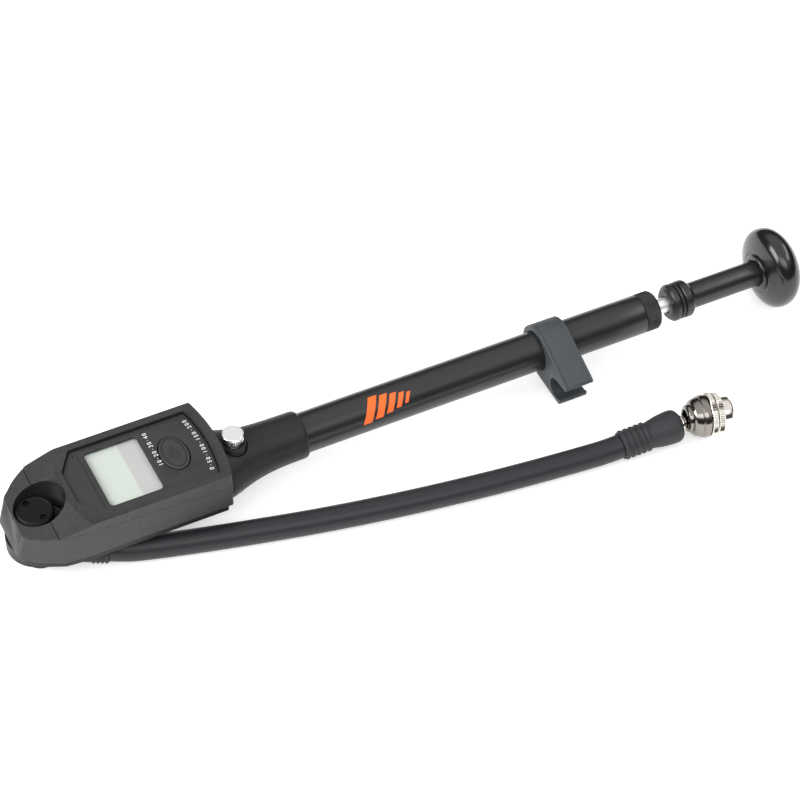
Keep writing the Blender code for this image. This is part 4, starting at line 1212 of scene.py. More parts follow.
class MakeChuck(PumpOperator, bpy.types.Operator):
    """Plated ferrule, ball stem and the screw chuck with its knurled grips"""

    bl_idname = "shock_pump.make_chuck"
    bl_label = "Valve chuck"

    def build(self, scene):
        self.make_stem()
        place_on = {"at": BALL_CENTRE, "along": CHUCK_ALONG}
        body = rounded([
            (-5.2, 3.5, 0.1), (-5.2, 4.35, 0.2), (-4.7, 5.0, 0.3), (-3.9, 5.3, 0.15),
            (-3.65, 5.05, 0.08), (-3.45, 5.05, 0.08), (-3.35, 5.8, 0.15), (-2.7, 6.5, 0.5),
            (-1.6, 7.05, 0.6), (-0.45, 7.5, 0.3), (-0.3, 7.35, 0.06), (-0.05, 7.35, 0.06),
            (0.1, 7.65, 0.15), (1.1, 7.95, 0.4), (2.3, 7.95, 0.2), (2.75, 7.55, 0.15), (2.75, 6.5, 0.0),
            (7.9, 6.5, 0.0), (7.9, 4.0, 0.0), (3.5, 4.0, 0.0), (3.5, 1.0, 0.0), (2.7, 1.0, 0.0),
            (2.7, 3.4, 0.0), (-4.9, 3.4, 0.1)])
        turned_piece("chuck_body", body, "chuck", "dark_nickel", "nickel", sides=128, sharp=40.0,
                     **place_on)
        sizes = scene.pump_sizes
        depth = sizes.grip_tooth_depth / MM
        grips = [("chuck_grip_rear", 3.0, 5.2, 7.85), ("chuck_grip_front", 5.5, 7.9, 7.5)]
        for name, low, high, radius in grips:
            band = rounded([
                (low, 6.8, 0.0), (low, radius, 0.22), (high, radius, 0.22), (high, 6.8, 0.0)])
            mesh = turned_mesh(
                name + "_fine", filled_rows(band, 0.14), sides=sizes.grip_teeth * 6, **place_on)
            mesh = through_tree(mesh, trees["knurl"], "nickel", 25.0, Teeth=sizes.grip_teeth,
                                Depth=depth, Slant=0.0, Margin=0.25, From=low + 0.1, To=high - 0.1,
                                Reach_From=7.2, Reach_To=9.0)
            piece(name + "_fine", mesh, "chuck", "nickel", "nickel", name)
        nose = rounded([
            (8.2, 4.0, 0.0), (8.2, 6.1, 0.2), (11.0, 6.1, 0.6), (11.8, 5.6, 0.3), (12.0, 5.0, 0.15),
            (12.0, 4.2, 0.1), (11.6, 4.0, 0.0)])
        turned_piece("chuck_nose", nose, "chuck", "nickel", "nickel", sides=128, sharp=40.0, **place_on)
        seal = rounded([(3.8, 1.3, 0.2), (3.8, 3.7, 0.2), (5.2, 3.7, 0.3), (5.2, 1.3, 0.3)])
        turned_piece("chuck_seal", seal, "chuck", "seal_rubber", "rubber", sides=64, **place_on)

    def make_stem(self):
        """The ferrule in the boot's end and the ball that the chuck turns on."""
        length = FAR_BOOT_LENGTH
        place_on = {"at": FAR_BOOT_AT, "along": FAR_ALONG}
        ferrule = rounded([
            (length + 0.3, 0.9, 0.0), (length + 0.3, 3.2, 0.15), (length + 1.0, 3.2, 0.2),
            (length + 1.0, 0.9, 0.0)])
        turned_piece("far_ferrule", ferrule, "hose", "nickel", "nickel", **place_on)
        foot = length + 1.3
        ball_r = 2.4
        profile = [(foot, 0.8), (foot, 2.2), (foot + 0.15, 2.35), (foot + 0.7, 2.35),
                   (foot + 0.85, 2.2), (foot + 1.1, 1.65), (BALL_STATION - 1.8, 1.6)]
        for degrees in range(-44, 71, 6):
            angle = math.radians(degrees)
            profile.append((BALL_STATION + ball_r * math.sin(angle), ball_r * math.cos(angle)))
        profile.append((BALL_STATION + 2.25, 0.8))
        turned_piece("chuck_stem", profile, "hose", "dark_nickel", "nickel", sides=72, **place_on)


class MakeHose(PumpOperator, bpy.types.Operator):
    """The flexible hose, one fixed length between its boots"""

    bl_idname = "shock_pump.make_hose"
    bl_label = "Hose"

    def build(self, scene):
        start = HOSE_EXIT + HOSE_EXIT_ALONG * (BOOT_END + 0.3)
        guide = [start, start + HOSE_EXIT_ALONG * 4.0]
        guide += [Vector(point) for point in HOSE_ROUTE]
        guide += [FAR_BOOT_AT - FAR_ALONG * 4.0, FAR_BOOT_AT]
        line = [place(point) for point in evenly(smoothed(guide, 20), HOSE_POINTS)]
        curve = bpy.data.curves.new("hose_fine", "CURVE")
        curve.dimensions = "3D"
        curve.bevel_depth = HOSE_R * MM
        curve.bevel_resolution = 10
        curve.use_fill_caps = True
        spline = curve.splines.new("POLY")
        spline.points.add(len(line) - 1)
        for point, spot in zip(spline.points, line):
            point.co = (*spot, 1.0)
        spline.use_smooth = True
        hose = bpy.data.objects.new("hose_fine", curve)
        scene.collection.objects.link(hose)
        curve.materials.append(finishes["rubber"])
        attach(hose, "hose")
        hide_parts("hose_tube")
        length = sum((b - a).length for a, b in zip(line, line[1:]))
        tuple(line[0])


class MakeBarrel(PumpOperator, bpy.types.Operator):
    """Anodised barrel with its printed mark"""

    bl_idname = "shock_pump.make_barrel"
    bl_label = "Barrel"

    def build(self, scene):
        profile = rounded([
            (BARREL_END, 6.3, 0.0), (BARREL_END, BARREL_R, 0.2), (BARREL_START, BARREL_R, 0.2),
            (BARREL_START, 6.3, 0.0)])
        mesh = turned_mesh("barrel_fine", filled_rows(profile, 12.0), sides=160)
        piece("barrel_fine", mesh, "pump_body", "anodised", "anodised", "barrel_tube")
        self.make_mark()

    def make_mark(self):
        """Five slanted bars that shorten and narrow along the barrel, printed a little proud."""
        bars = [(23.4, 3.4, 1.0), (28.0, 3.0, 0.86), (32.2, 2.5, 0.7), (35.9, 2.0, 0.54),
                (39.1, 1.4, 0.4)]
        middle = math.radians(47.0)
        spread = math.radians(36.0)
        lean = 2.4
        inside = BARREL_R - 0.1
        outside = BARREL_R + 0.035
        steps = 16
        solids = []
        for start, width, share in bars:
            corners = [(start, inside), (start, outside), (start + width, outside),
                       (start + width, inside)]
            rows = []
            for step in range(steps + 1):
                swing = (-1.0 + 2.0 * step / steps) * spread * share
                shift = lean * swing / spread
                angle = middle + swing
                out = Vector((0.0, -math.cos(angle), math.sin(angle)))
                rows.append([out * radius + Vector((x + shift, 0.0, 0.0)) for x, radius in corners])
            solids.append(rows)
        mesh = loft_mesh("barrel_mark", *solids)
        shade(mesh, 30.0)
        piece("barrel_mark", mesh, "pump_body", "mark_ink", "anodised")


class MakeEndCap(PumpOperator, bpy.types.Operator):
    """Knurled cap that closes the barrel round the rod"""

    bl_idname = "shock_pump.make_end_cap"
    bl_label = "End cap"

    def build(self, scene):
        sizes = scene.pump_sizes
        depth = sizes.cap_tooth_depth / MM
        profile = rounded([
            (146.2, 3.35, 0.1), (146.2, 6.3, 0.25), (145.8, 7.0, 0.3), (145.2, 7.3, 0.2),
            (139.8, 7.3, 0.1), (139.8, 6.0, 0.0), (134.5, 6.0, 0.0), (134.5, 5.35, 0.0),
            (142.6, 5.35, 0.0), (142.6, 3.35, 0.0)])
        mesh = turned_mesh("end_cap_fine", filled_rows(profile, 0.17), sides=sizes.cap_teeth * 6)
        mesh = through_tree(mesh, trees["knurl"], "cap", 25.0, Teeth=sizes.cap_teeth, Depth=depth,
                            Slant=0.6, Margin=0.25, From=139.95, To=145.3, Reach_From=7.1, Reach_To=8.0)
        piece("end_cap_fine", mesh, "pump_body", "cap", "anodised", "end_cap")


class MakePlunger(PumpOperator, bpy.types.Operator):
    """Polished rod, handle sleeve with its bumper flanges, and the bumper ring"""

    bl_idname = "shock_pump.make_plunger"
    bl_label = "Plunger"

    def build(self, scene):
        rod = [(199.0, 0.0), (199.0, 2.2), (153.0, 2.2), (153.0, 2.95), (-4.3, 2.95), (-4.3, 1.8),
               (-11.0, 1.8), (-11.0, 0.0)]
        turned_piece("piston_rod", rod, "plunger", "polished", "chrome")
        sleeve = rounded([
            (195.6, 4.2, 0.0), (193.0, 4.2, 0.0), (193.0, 5.0, 0.1), (161.9, 5.0, 0.8),
            (161.0, 5.7, 0.4), (160.6, 6.6, 0.4), (159.8, 7.2, 0.5), (157.6, 7.2, 0.4),
            (157.2, 6.8, 0.15), (157.2, 5.5, 0.0), (155.0, 5.5, 0.0), (155.0, 6.8, 0.15),
            (154.6, 7.2, 0.3), (153.2, 7.2, 0.5), (152.3, 6.5, 0.3), (152.2, 5.9, 0.1),
            (151.7, 5.8, 0.1), (151.5, 5.4, 0.1), (151.5, 3.3, 0.05), (153.3, 3.3, 0.0),
            (153.3, 2.5, 0.0), (195.6, 2.5, 0.0)], 4)
        turned_piece("handle_sleeve", sleeve, "plunger", "anodised", "gloss", sides=112, sharp=38.0)
        middle = Vector((156.1, 6.35))
        thick = 0.76
        section = []
        for step in range(20):
            angle = TAU * step / 20
            section.append(middle + thick * Vector((math.cos(angle), math.sin(angle))))
        turned_piece("bumper_ring", section, "plunger", "seal_rubber", "rubber", sharp=60.0)


class MakeKnob(PumpOperator, bpy.types.Operator):
    """Glossy mushroom knob"""

    bl_idname = "shock_pump.make_knob"
    bl_label = "Knob"

    def build(self, scene):
        widest = 198.4
        crown = KNOB_END - 0.7
        fullness = 0.92
        dome = []
        for degrees in range(86, -1, -4):
            angle = math.radians(degrees)
            station = widest + (crown - widest) * math.sin(angle)
            dome.append((station, KNOB_R * math.cos(angle) ** fullness))
        bowl = smoothed([(widest, KNOB_R), (197.5, 15.78), (196.4, 15.55), (195.2, 14.9), (194.2, 13.8),
                         (193.4, 12.4), (192.8, 10.9), (192.35, 9.5), (192.1, 8.5), (192.1, 7.8),
                         (192.2, 7.3)], 5)[1:]
        bead = smoothed([(192.1, 7.1), (191.9, 7.15), (191.5, 7.1), (191.2, 6.8), (191.0, 6.3)], 4)
        socket_in = [(191.0, 5.3), (193.5, 5.3), (193.5, 4.5), (196.0, 4.5), (196.0, 2.5), (199.4, 2.5),
                     (199.4, 0.0)]
        profile = [(crown, 0.0)] + dome + bowl + bead + socket_in
        turned_piece("knob", profile, "plunger", "gloss", "gloss", sides=144, sharp=50.0)


class MakeClip(PumpOperator, bpy.types.Operator):
    """Rubber clip whose strap has a moulded border along each edge"""

    bl_idname = "shock_pump.make_clip"
    bl_label = "Hose clip"

    def outline(self, grow=0.0):
        """The clip seen along the barrel: round the barrel, out to its tip, round the hose's seat."""
        seat_y, seat_z, seat_r = SEAT
        tangent = math.degrees(math.acos(CLIP_RING_R / CLIP_REACH))
        line = arc((0.0, 0.0), CLIP_RING_R + grow, -90.0, 180.0 - tangent, 40)
        line += [(-22.2 - grow, 1.35 + grow), (-22.8 - grow, 1.0), (-23.2 - grow, 0.55),
                 (-CLIP_REACH - grow, 0.1), (-23.1 - grow, -0.4), (-22.7, -0.68), (-22.2, -0.75)]
        line += arc((seat_y, seat_z), seat_r, 90.0, -90.0, 28)
        line += [(-17.5, -9.2), (-18.2, -9.1), (-18.7, -8.6), (-19.2, -8.45), (-19.6, -8.9),
                 (-19.7, -9.6), (-19.5, -10.4), (-19.0, -10.85), (-18.4 + grow, -10.95 - grow)]
        return line

    def build(self, scene):
        stand = Matrix(((0, 0, 1), (1, 0, 0), (0, 1, 0))).to_4x4()
        low, high = CLIP_SPAN
        border = 1.15
        groove = 0.22
        bands = [
            (low + 0.3, high - 0.3, -0.16, CLIP_BORE_R + 0.2, 0.0),
            (low, low + border, 0.0, CLIP_BORE_R, 0.3),
            (low + border + groove, high - border - groove, 0.0, CLIP_BORE_R, 0.08),
            (high - border, high, 0.0, CLIP_BORE_R, 0.3),
        ]
        shape = bmesh.new()
        for start, end, grow, bore_r, rounding in bands:
            bore = arc((0.0, 0.0), bore_r, 0.0, 354.0, 59)
            band = outline_mesh("band", [self.outline(grow), bore], start, end, rounding, stand)
            shape.from_mesh(band)
            bpy.data.meshes.remove(band)
        mesh = bpy.data.meshes.new("hose_clip_fine")
        shape.to_mesh(mesh)
        shape.free()
        shade(mesh, 34.0)
        piece("hose_clip_fine", mesh, "clip", "clip_rubber", "clip_rubber", "hose_clip")


class MakeHeadCasting(PumpOperator, bpy.types.Operator):
    """Neck, base plate and swivel boss in one casting"""

    bl_idname = "shock_pump.make_head_casting"
    bl_label = "Head casting"

    def neck_mesh(self):
        """The round neck that widens and dips under the gauge: (x, half width, top, bottom)."""
        sections = smoothed([
            (-3.4, 8.95, 8.95, -8.95), (-8.0, 9.0, 9.0, -9.0), (-14.0, 9.2, 9.1, -9.5),
            (-20.0, 9.9, 9.2, -10.4), (-25.0, 11.2, 9.4, -11.2), (-29.0, 12.8, 9.8, -11.6),
            (-33.0, 14.2, 10.2, -11.6), (-38.0, 14.2, 9.0, -10.2), (-43.0, 12.6, 5.0, -7.6),
            (-47.0, 9.0, 1.0, -5.2)], 5)
        lip = [(-0.5, 8.0), (-0.62, 8.3), (-0.9, 8.6), (-1.4, 8.83), (-2.2, 8.93)]
        sections = [Vector((x, r, r, -r)) for x, r in lip] + sections
        sides = 96
        rings = []
        for x, half_width, top, bottom in sections:
            ring = []
            for step in range(sides):
                angle = TAU * step / sides
                height = (top + bottom) / 2.0 + (top - bottom) / 2.0 * math.sin(angle)
                ring.append((x, half_width * math.cos(angle), height))
            rings.append(ring)
        return loft_mesh("neck", rings)

    def build(self, scene):
        swivel = (SWIVEL_X, 0, 0)
        plate = prism_mesh("plate", case_outline(1.3, 0.0), -4.9, case_outline(1.3, 0.0), -1.9)
        steps = [
            ("DIFFERENCE", case_prism("gauge_room", -0.25, -2.0, CUT_TOP)),
            ("UNION", plate),
            ("UNION", post_mesh("disc", -8.0, -2.2, 11.5, swivel, 96)),
            ("UNION", post_mesh("column", -4.4, 5.4, 6.0, swivel)),
            ("DIFFERENCE", rod_mesh(
                "barrel_socket", -18.6, 5.0, BARREL_R + 0.12, (0, 0, 0), X_AXIS, 128)),
            ("DIFFERENCE", post_mesh("bleed_well", -3.4, 20.0, 2.9, BLEED_AT)),
            ("DIFFERENCE", post_mesh("bleed_seat", 6.9, 20.0, 5.1, BLEED_AT, 64)),
            ("DIFFERENCE", post_mesh("bolt_bore", -20.0, 20.0, 3.8, swivel))]
        for x, y in SCREW_PLACES:
            steps.append(("DIFFERENCE", post_mesh("screw_room", -20.0, -3.4, 2.5, (x, y, 0), 40)))
            steps.append(("DIFFERENCE", post_mesh("screw_hole", -20.0, 0.0, 1.4, (x, y, 0), 24)))
        mesh = softened(shaped(self.neck_mesh(), steps, "pump_head_fine"), 0.3 * MM, 2, 35.0)
        piece("pump_head_fine", mesh, "pump_body", "casting", "casting", "pump_head")


class MakeGaugeHousing(PumpOperator, bpy.types.Operator):
    """Lower half of the gauge case"""

    bl_idname = "shock_pump.make_gauge_housing"
    bl_label = "Gauge housing"

    def build(self, scene):
        blank = case_prism("gauge_housing_fine", 0.0, HEAD_BOTTOM, 12.6)
        body = softened(blank, scene.pump_sizes.edge_round, 3, 24.0)
        above = seam_line(-SEAM_GAP / 2.0) + [(SEAM_SPAN[1], CUT_HIGH), (SEAM_SPAN[0], CUT_HIGH)]
        steps = [
            ("DIFFERENCE", side_slab_mesh("above_seam", above)),
            ("DIFFERENCE", case_prism("cover_room", 1.1, 5.9, CUT_TOP)),
            ("DIFFERENCE", outline_mesh("hollow", [box_outline(*HOLLOW)], 0.2, CUT_TOP)),
            ("DIFFERENCE", post_mesh("well_room", 0.2, CUT_TOP, WELL_R + 0.75, (WELL_X, 0, 0), 72)),
            ("DIFFERENCE", post_mesh("column_hole", -5.0, 5.0, 6.3, (SWIVEL_X, 0, 0), 64))]
        for x, y in SCREW_PLACES:
            steps.append(("UNION", post_mesh("pillar", -1.0, 5.0, 2.5, (x, y, 0), 32)))
        for x, y in SCREW_PLACES:
            steps.append(("DIFFERENCE", post_mesh("pillar_bore", -5.0, 3.6, 1.2, (x, y, 0), 24)))
        mesh = shaped(body, steps)
        shade(mesh, 26.0)
        piece("gauge_housing_fine", mesh, "pump_body", "casing", "casing", "gauge_housing")


class MakeGaugeCover(PumpOperator, bpy.types.Operator):
    """Upper half of the gauge case: bezel, facets and the threaded well over the swivel bolt"""

    bl_idname = "shock_pump.make_gauge_cover"
    bl_label = "Gauge cover"

    def build(self, scene):
        blank = shaped(case_prism("gauge_cover_fine", 0.0, 6.2, HEAD_TOP), [
            ("DIFFERENCE", front_facet_mesh()),
            ("DIFFERENCE", nose_facet_mesh()),
            ("DIFFERENCE", outline_mesh("recess", [panel_outline(0.0)], PANEL_FLOOR, CUT_TOP)),
            ("DIFFERENCE", post_mesh("well", -5.0, CUT_TOP, WELL_R, (WELL_X, 0, 0), 96))])
        body = softened(blank, scene.pump_sizes.edge_round, 3, 24.0)
        below = seam_line(SEAM_GAP / 2.0) + [(SEAM_SPAN[1], -20.0), (SEAM_SPAN[0], -20.0)]
        rim = shaped(side_slab_mesh("below_seam", below), [
            ("DIFFERENCE", case_prism("plug", 1.25, 0.0, 16.0))])
        groove = 0.2
        groove_floor = 10.7
        button = oval(BUTTON_X, BUTTON_HALF[0] + 0.6, BUTTON_HALF[1] + 0.6)
        crease_cut = side_slab_mesh("crease_groove", [
            (CREASE_X - groove, groove_floor), (CREASE_X + groove, groove_floor),
            (CREASE_X + groove, CUT_TOP), (CREASE_X - groove, CUT_TOP)])
        mesh = shaped(body, [
            ("DIFFERENCE", rim),
            ("DIFFERENCE", crease_cut),
            ("DIFFERENCE", outline_mesh("hollow", [box_outline(*HOLLOW)], -5.0, 11.0)),
            ("DIFFERENCE", outline_mesh("window", [window_outline(0.6)], 5.0, CUT_TOP)),
            ("DIFFERENCE", outline_mesh("button_hole", [button], 5.0, CUT_TOP))])
        shade(mesh, 13.0)
        piece("gauge_cover_fine", mesh, "pump_body", "casing", "casing", "gauge_cover")
        self.make_well_liner()

    def make_well_liner(self):
        """Threaded wall of the well, cut to just under the facets, darkened as painted shade inside the
        well.
        """
        foot, top = 0.6, 16.0
        first_thread, last_thread = 15.6, 1.2
        pitch = 0.9
        crest = WELL_R - 0.15
        root = crest - 0.28
        profile = [(foot, WELL_R + 0.45), (top, WELL_R + 0.45), (top, WELL_R - 0.1)]
        height = first_thread
        while height > last_thread:
            profile += [(height, crest), (height - 0.3 * pitch, root), (height - 0.5 * pitch, root),
                        (height - 0.8 * pitch, crest)]
            height -= pitch
        profile += [(foot, WELL_R - 0.2)]
        liner = turned_mesh("well_liner", profile, (WELL_X, 0, 0), Z_AXIS)
        low = 0.55
        under = [(-40.0, HEAD_TOP - low), (-88.2, HEAD_TOP - low), (CREASE_X, CREASE_Z - low),
                 (CUT_NOSE, facet_height(CUT_NOSE) - low), (CUT_NOSE, CUT_HIGH), (-40.0, CUT_HIGH)]
        mesh = shaped(liner, [("DIFFERENCE", side_slab_mesh("over_liner", under))])
        shade(mesh, 30.0)
        # Painted shade: the liner takes the bolt's black finish to stand for the shade inside the well
        piece("well_liner", mesh, "pump_body", "blacking", "casing")


class MakeFacia(PumpOperator, bpy.types.Operator):
    """Instrument panel with its dividing groove and printed scale"""

    bl_idname = "shock_pump.make_facia"
    bl_label = "Facia panel"

    def build(self, scene):
        button = oval(BUTTON_X, BUTTON_HALF[0] + 0.35, BUTTON_HALF[1] + 0.35)
        panel = outline_mesh("facia_fine", [panel_outline(0.3), window_outline(0.0), button],
                             PANEL_FLOOR + 0.2, PANEL_TOP, 0.14)
        left, right = PANEL_BREAK_X - 0.13, PANEL_BREAK_X + 0.13
        low_y, high_y = -13.6, 14.2
        line = [(left, low_y), (right, low_y), (right, high_y), (left, high_y)]
        cut_line = prism_mesh("break_line", line, PANEL_TOP - 0.22, line, 20.0)
        pinhole = post_mesh("pinhole", PANEL_TOP - 0.4, 20.0, 0.35, (PANEL_BREAK_X - 1.6, 13.6, 0), 24)
        mesh = shaped(panel, [("DIFFERENCE", cut_line), ("DIFFERENCE", pinhole)])
        shade(mesh, 34.0)
        piece("facia_fine", mesh, "pump_body", "facia", "facia", "facia_panel")
        self.make_print()

    def make_print(self):
        """Scale figures beside the display and along the bowed end, as thin printed shapes."""
        size = 1.75
        rows = [("0.50.100.150.200", -40.6, 1.95, -12.4, 12.2), ("10.20.30.40", -54.9, 0.0, -3.0, 12.6)]
        ink_base = PANEL_TOP + 0.004
        shape = bmesh.new()
        for text, x, bow, low_y, high_y in rows:
            pitch = (high_y - low_y) / (len(text) - 1)
            for index, glyph in enumerate(text):
                y = low_y + pitch * index
                share = y / PANEL_HALF_WIDTH
                spot = place((x + bow * (1.0 - share * share), y, ink_base))
                slope = 2.0 * bow * share / PANEL_HALF_WIDTH
                turn = Matrix.Rotation(math.radians(90.0) + math.atan(slope), 4, "Z")
                mesh = self.glyph_mesh(glyph, size)
                mesh.transform(Matrix.Translation(spot) @ turn)
                shape.from_mesh(mesh)
                bpy.data.meshes.remove(mesh)
        mesh = bpy.data.meshes.new("facia_print")
        shape.to_mesh(mesh)
        shape.free()
        piece("facia_print", mesh, "pump_body", "white_ink", "facia")

    def glyph_mesh(self, glyph, size):
        """One figure or point as a thin shape, lying flat."""
        curve = bpy.data.curves.new("glyph", "FONT")
        curve.body = glyph
        curve.align_x = "CENTER"
        curve.align_y = "CENTER" if glyph != "." else "BOTTOM_BASELINE"
        curve.size = size * 1.25 * MM
        curve.extrude = 0.012 * MM
        curve.offset = 0.03 * MM
        curve.resolution_u = 3
        source = bpy.data.objects.new("glyph", curve)
        bpy.context.scene.collection.objects.link(source)
        return plain_mesh(source, "glyph")


class MakeDisplay(PumpOperator, bpy.types.Operator):
    """Display window and the liquid crystal display under it"""

    bl_idname = "shock_pump.make_display"
    bl_label = "Display"

    def build(self, scene):
        lens = outline_mesh("display_lens_fine", [window_outline(-0.25, 1.4)], 12.0, 12.8, 0.15)
        shade(lens, 40.0)
        piece("display_lens_fine", lens, "pump_body", "lens", "glass", "display_lens")
        cell = outline_mesh("display_cell_fine", [window_outline(0.2, 1.0)], 9.6, 11.6, 0.1)
        piece("display_cell_fine", cell, "pump_body", "display", "display", "display_module")


class MakePowerButton(PumpOperator, bpy.types.Operator):
    """Oval push button with its raised sign"""

    bl_idname = "shock_pump.make_power_button"
    bl_label = "Power button"

    def build(self, scene):
        top = 13.35
        half_x, half_y = BUTTON_HALF
        key = outline_mesh("power_button_fine", [oval(BUTTON_X, half_x, half_y)], 11.5, top, 0.28)
        ring = outline_mesh("key_ring", [oval(BUTTON_X, half_x - 1.0, half_y - 1.0),
                                         oval(BUTTON_X, half_x - 1.35, half_y - 1.35)], top - 0.3, 20.0)
        mesh = shaped(key, [("DIFFERENCE", ring)])
        shade(mesh, 34.0)
        piece("power_button_fine", mesh, "power_key", "key", "facia", "power_button")
        low, high = top - 0.05, top + 0.2
        sign = outline_mesh("key_sign", [self.eye(1.75, 3.1), self.eye(1.35, 2.55)], low, high, 0.05)
        piece("key_sign", sign, "power_key", "key", "facia")
        pupils = [oval(BUTTON_X, 0.75, 1.35, 32), oval(BUTTON_X, 0.5, 1.05, 32)]
        pupil = outline_mesh("key_pupil", pupils, low, high, 0.04)
        piece("key_pupil", pupil, "power_key", "key", "facia")

    def eye(self, half_x, half_y):
        """Two arcs that meet in points at the sign's ends."""
        radius = (half_x * half_x + half_y * half_y) / (2.0 * half_x)
        swing = math.degrees(math.asin(half_y / radius))
        right = arc((BUTTON_X + half_x - radius, 0.0), radius, -swing, swing, 14)
        left = arc((BUTTON_X - half_x + radius, 0.0), radius, 180.0 - swing, 180.0 + swing, 14)
        return right + left[1:-1]


class MakeBleedValve(PumpOperator, bpy.types.Operator):
    """Stepped boss and the plated bleed button with its milled side"""

    bl_idname = "shock_pump.make_bleed_valve"
    bl_label = "Bleed valve"

    def build(self, scene):
        boss = rounded([
            (10.9, 3.6, 0.0), (10.9, 4.7, 0.3), (9.35, 4.8, 0.15), (9.1, 4.1, 0.1), (8.8, 4.1, 0.1),
            (8.55, 4.6, 0.15), (7.2, 4.6, 0.1), (7.2, 2.5, 0.0), (3.3, 2.5, 0.0), (3.3, 1.8, 0.0),
            (8.3, 1.8, 0.0), (8.3, 3.6, 0.0)])
        turned_piece("bleed_boss", boss, "pump_body", "casting", "casting", at=BLEED_AT, along=Z_AXIS)
        under = BLEED_TOP - 2.7
        teeth = 44
        button = [(BLEED_TOP, 0.0), (BLEED_TOP, 3.5)]
        button += [(p.x, p.y) for p in arc((BLEED_TOP - 0.4, 3.5), 0.4, 0.0, 90.0, 5)][1:]
        button += [(under + 0.15, 3.9), (under, 3.75), (under, 1.5), (2.6, 1.5), (2.6, 0.7), (0.0, 0.7),
                   (0.0, 0.0)]
        rows = filled_rows(button, 0.2)
        mesh = turned_mesh("bleed_button_fine", rows, BLEED_AT, Z_AXIS, teeth * 6)
        mesh = through_tree(mesh, trees["knurl"], "chrome", 30.0, Teeth=teeth, Depth=0.14, Slant=0.0,
                            Margin=0.2, From=under + 0.2, To=BLEED_TOP - 0.55, Reach_From=3.8,
                            Reach_To=5.0)
        piece("bleed_button_fine", mesh, "bleed_valve", "chrome", "chrome", "bleed_button")


class MakeSwivel(PumpOperator, bpy.types.Operator):
    """Two-pin bolt in the well, and the hose union and nut under the head"""

    bl_idname = "shock_pump.make_swivel"
    bl_label = "Swivel"

    def build(self, scene):
        at = (SWIVEL_X, 0, 0)
        top = 9.1
        bolt = rounded([
            (top - 0.25, 0.0, 0.0), (top - 0.25, 5.3, 0.1), (top, 5.5, 0.08), (top, 5.9, 0.12),
            (top - 0.7, 6.74, 0.2), (5.7, 6.74, 0.2), (5.7, 3.5, 0.0), (-14.6, 3.5, 0.0),
            (-14.6, 0.0, 0.0)])
        mesh = turned_mesh("swivel_bolt_fine", bolt, at, Z_AXIS, 96)
        pins = []
        hole = rounded([
            (20.0, 0.0, 0.0), (20.0, 1.35, 0.0), (top - 1.6, 1.35, 0.2), (top - 1.8, 0.0, 0.0)])
        for sign in (1.0, -1.0):
            spot = (SWIVEL_X - sign * 1.7, sign * 4.1, 0)
            pins.append(("DIFFERENCE", turned_mesh("pin_hole", hole, spot, Z_AXIS, 40)))
        mesh = softened(shaped(mesh, pins), 0.08 * MM, 2, 40.0)
        piece("swivel_bolt_fine", mesh, "pump_body", "blacking", "casting", "swivel_bolt")
        nut = rounded([
            (-14.9, 0.0, 0.0), (-14.9, 3.8, 0.0), (-13.9, 3.8, 0.0), (-13.9, 6.0, 0.3),
            (-15.3, 6.0, 0.4), (-KNOB_R, 5.5, 0.15), (-KNOB_R, 0.0, 0.0)])
        turned_piece("swivel_nut", nut, "pump_body", "casting", "casting", at=at, along=Z_AXIS)
        union = rounded([
            (-8.3, 5.4, 0.0), (-8.3, 6.5, 0.3), (-13.6, 6.5, 0.3), (-13.6, 5.4, 0.0), (-12.3, 5.4, 0.0),
            (-12.3, 3.8, 0.0), (-9.6, 3.8, 0.0), (-9.6, 5.4, 0.0)])
        mesh = turned_mesh("hose_union_fine", union, at, Z_AXIS, 96)
        arm = [(5.9, 0.0), (5.9, 2.6), (11.1, 2.6), (11.1, 1.9), (22.0, 1.9), (22.0, 0.0)]
        bore = rod_mesh("air_bore", 2.0, 25.0, 1.0, HOSE_EXIT, HOSE_EXIT_ALONG, 24)
        arm_mesh = turned_mesh("arm", arm, HOSE_EXIT, HOSE_EXIT_ALONG, 48)
        mesh = softened(shaped(mesh, [("UNION", arm_mesh), ("DIFFERENCE", bore)]), 0.15 * MM, 2, 40.0)
        piece("hose_union_fine", mesh, "hose", "casting", "casting", "hose_union")


class MakeScrews(PumpOperator, bpy.types.Operator):
    """The four socket screws that hold the gauge to the casting"""

    bl_idname = "shock_pump.make_screws"
    bl_label = "Case screws"

    def build(self, scene):
        profile = rounded([
            (3.2, 0.0, 0.0), (3.2, 0.9, 0.2), (-3.7, 0.9, 0.0), (-3.7, 2.1, 0.1), (-4.7, 2.1, 0.3),
            (-4.7, 0.0, 0.0)])
        blank = turned_mesh("screw", profile, (0, 0, 0), Z_AXIS, 48)
        hexagon = rod_mesh("hexagon", -6.0, -4.0, 1.0, (0, 0, 0), Z_AXIS, 6)
        screw = shaped(blank, [("DIFFERENCE", hexagon)])
        screw.transform(Matrix.Translation(-ORIGIN))
        source = temporary(screw)
        points = bpy.data.meshes.new("case_screws")
        points.from_pydata([place((x, y, 0.0)) for x, y in SCREW_PLACES], [], [])
        mesh = through_tree(points, trees["copies"], "steel", 32.0, Piece=source)
        bpy.data.objects.remove(source)
        nodes = ["housing_screw_%d" % number for number in range(1, 5)]
        piece("case_screws", mesh, "pump_body", "steel", "steel", *nodes)


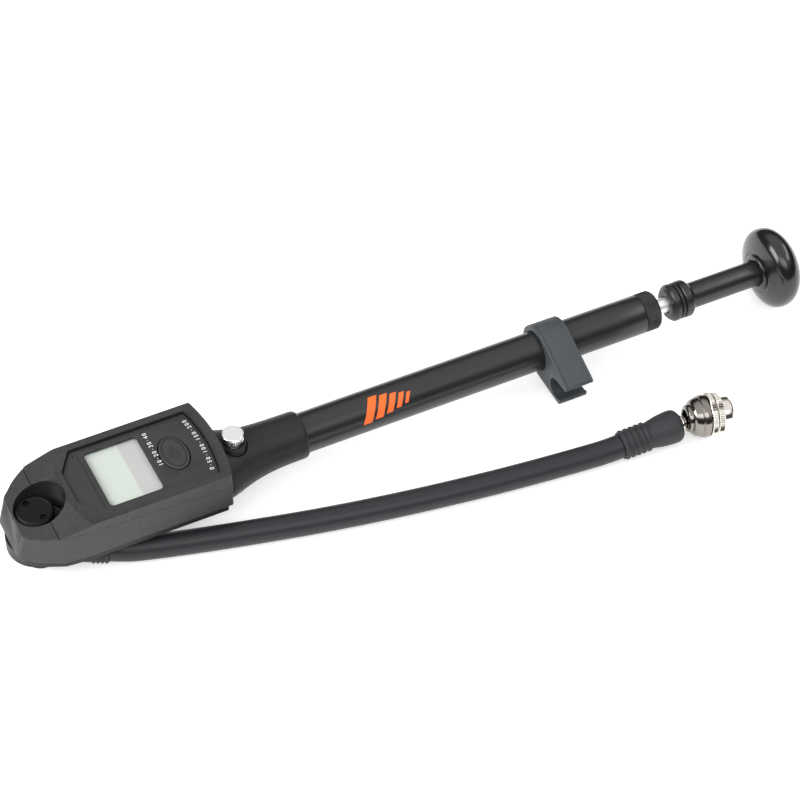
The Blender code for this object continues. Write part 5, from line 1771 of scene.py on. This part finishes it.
class MakeInnerParts(PumpOperator, bpy.types.Operator):
    """Finishes for the pieces whose frame shapes already serve"""

    bl_idname = "shock_pump.make_inner_parts"
    bl_label = "Inner parts"

    def build(self, scene):
        groups = {
            "nylon": ["rod_bushing", "piston", "battery_holder"],
            "seal_rubber": ["rod_wiper", "barrel_seal", "piston_seal", "bleed_seal", "sensor_seal",
                            "swivel_seal_upper", "swivel_seal_lower"],
            "steel": ["check_valve_ball", "check_valve_spring", "bleed_spring", "piston_nut",
                      "button_switch", "coin_battery", "pressure_sensor"],
            "brass": ["check_valve_seat", "valve_pin"],
            "board": ["circuit_board"],
        }
        for finish, names in groups.items():
            for name in names:
                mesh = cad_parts[name].data
                mesh.materials.clear()
                mesh.materials.append(finishes[finish])


STEPS = [
    MakeStage, MakeBoots, MakeChuck, MakeHose, MakeBarrel, MakeEndCap, MakePlunger, MakeKnob, MakeClip,
    MakeHeadCasting, MakeGaugeHousing, MakeGaugeCover, MakeFacia, MakeDisplay, MakePowerButton,
    MakeBleedValve, MakeSwivel, MakeScrews, MakeInnerParts,
]


class PumpPanel(bpy.types.Panel):
    """Lists the steps and what a user may change"""

    bl_idname = "VIEW3D_PT_shock_pump"
    bl_label = "Shock Pump"
    bl_space_type = "VIEW_3D"
    bl_region_type = "UI"
    bl_category = "Shock Pump"

    def draw(self, context):
        layout = self.layout
        scene = context.scene
        for settings in (scene.pump_sizes, scene.pump_colours, scene.pump_light):
            box = layout.box()
            for name in settings.__annotations__:
                box.prop(settings, name)
        for step in STEPS:
            layout.operator(step.bl_idname)


CLASSES = [PumpSizes, PumpColours, StageLight, *STEPS, PumpPanel]


def register():
    for item in CLASSES:
        bpy.utils.register_class(item)
    bpy.types.Scene.pump_sizes = PointerProperty(type=PumpSizes)
    bpy.types.Scene.pump_colours = PointerProperty(type=PumpColours)
    bpy.types.Scene.pump_light = PointerProperty(type=StageLight)


def unregister():
    del bpy.types.Scene.pump_light
    del bpy.types.Scene.pump_colours
    del bpy.types.Scene.pump_sizes
    for item in reversed(CLASSES):
        bpy.utils.unregister_class(item)


def main():
    register()
    for step in STEPS:
        group, name = step.bl_idname.split(".")
        getattr(getattr(bpy.ops, group), name)()


if __name__ == "__main__":
    main()
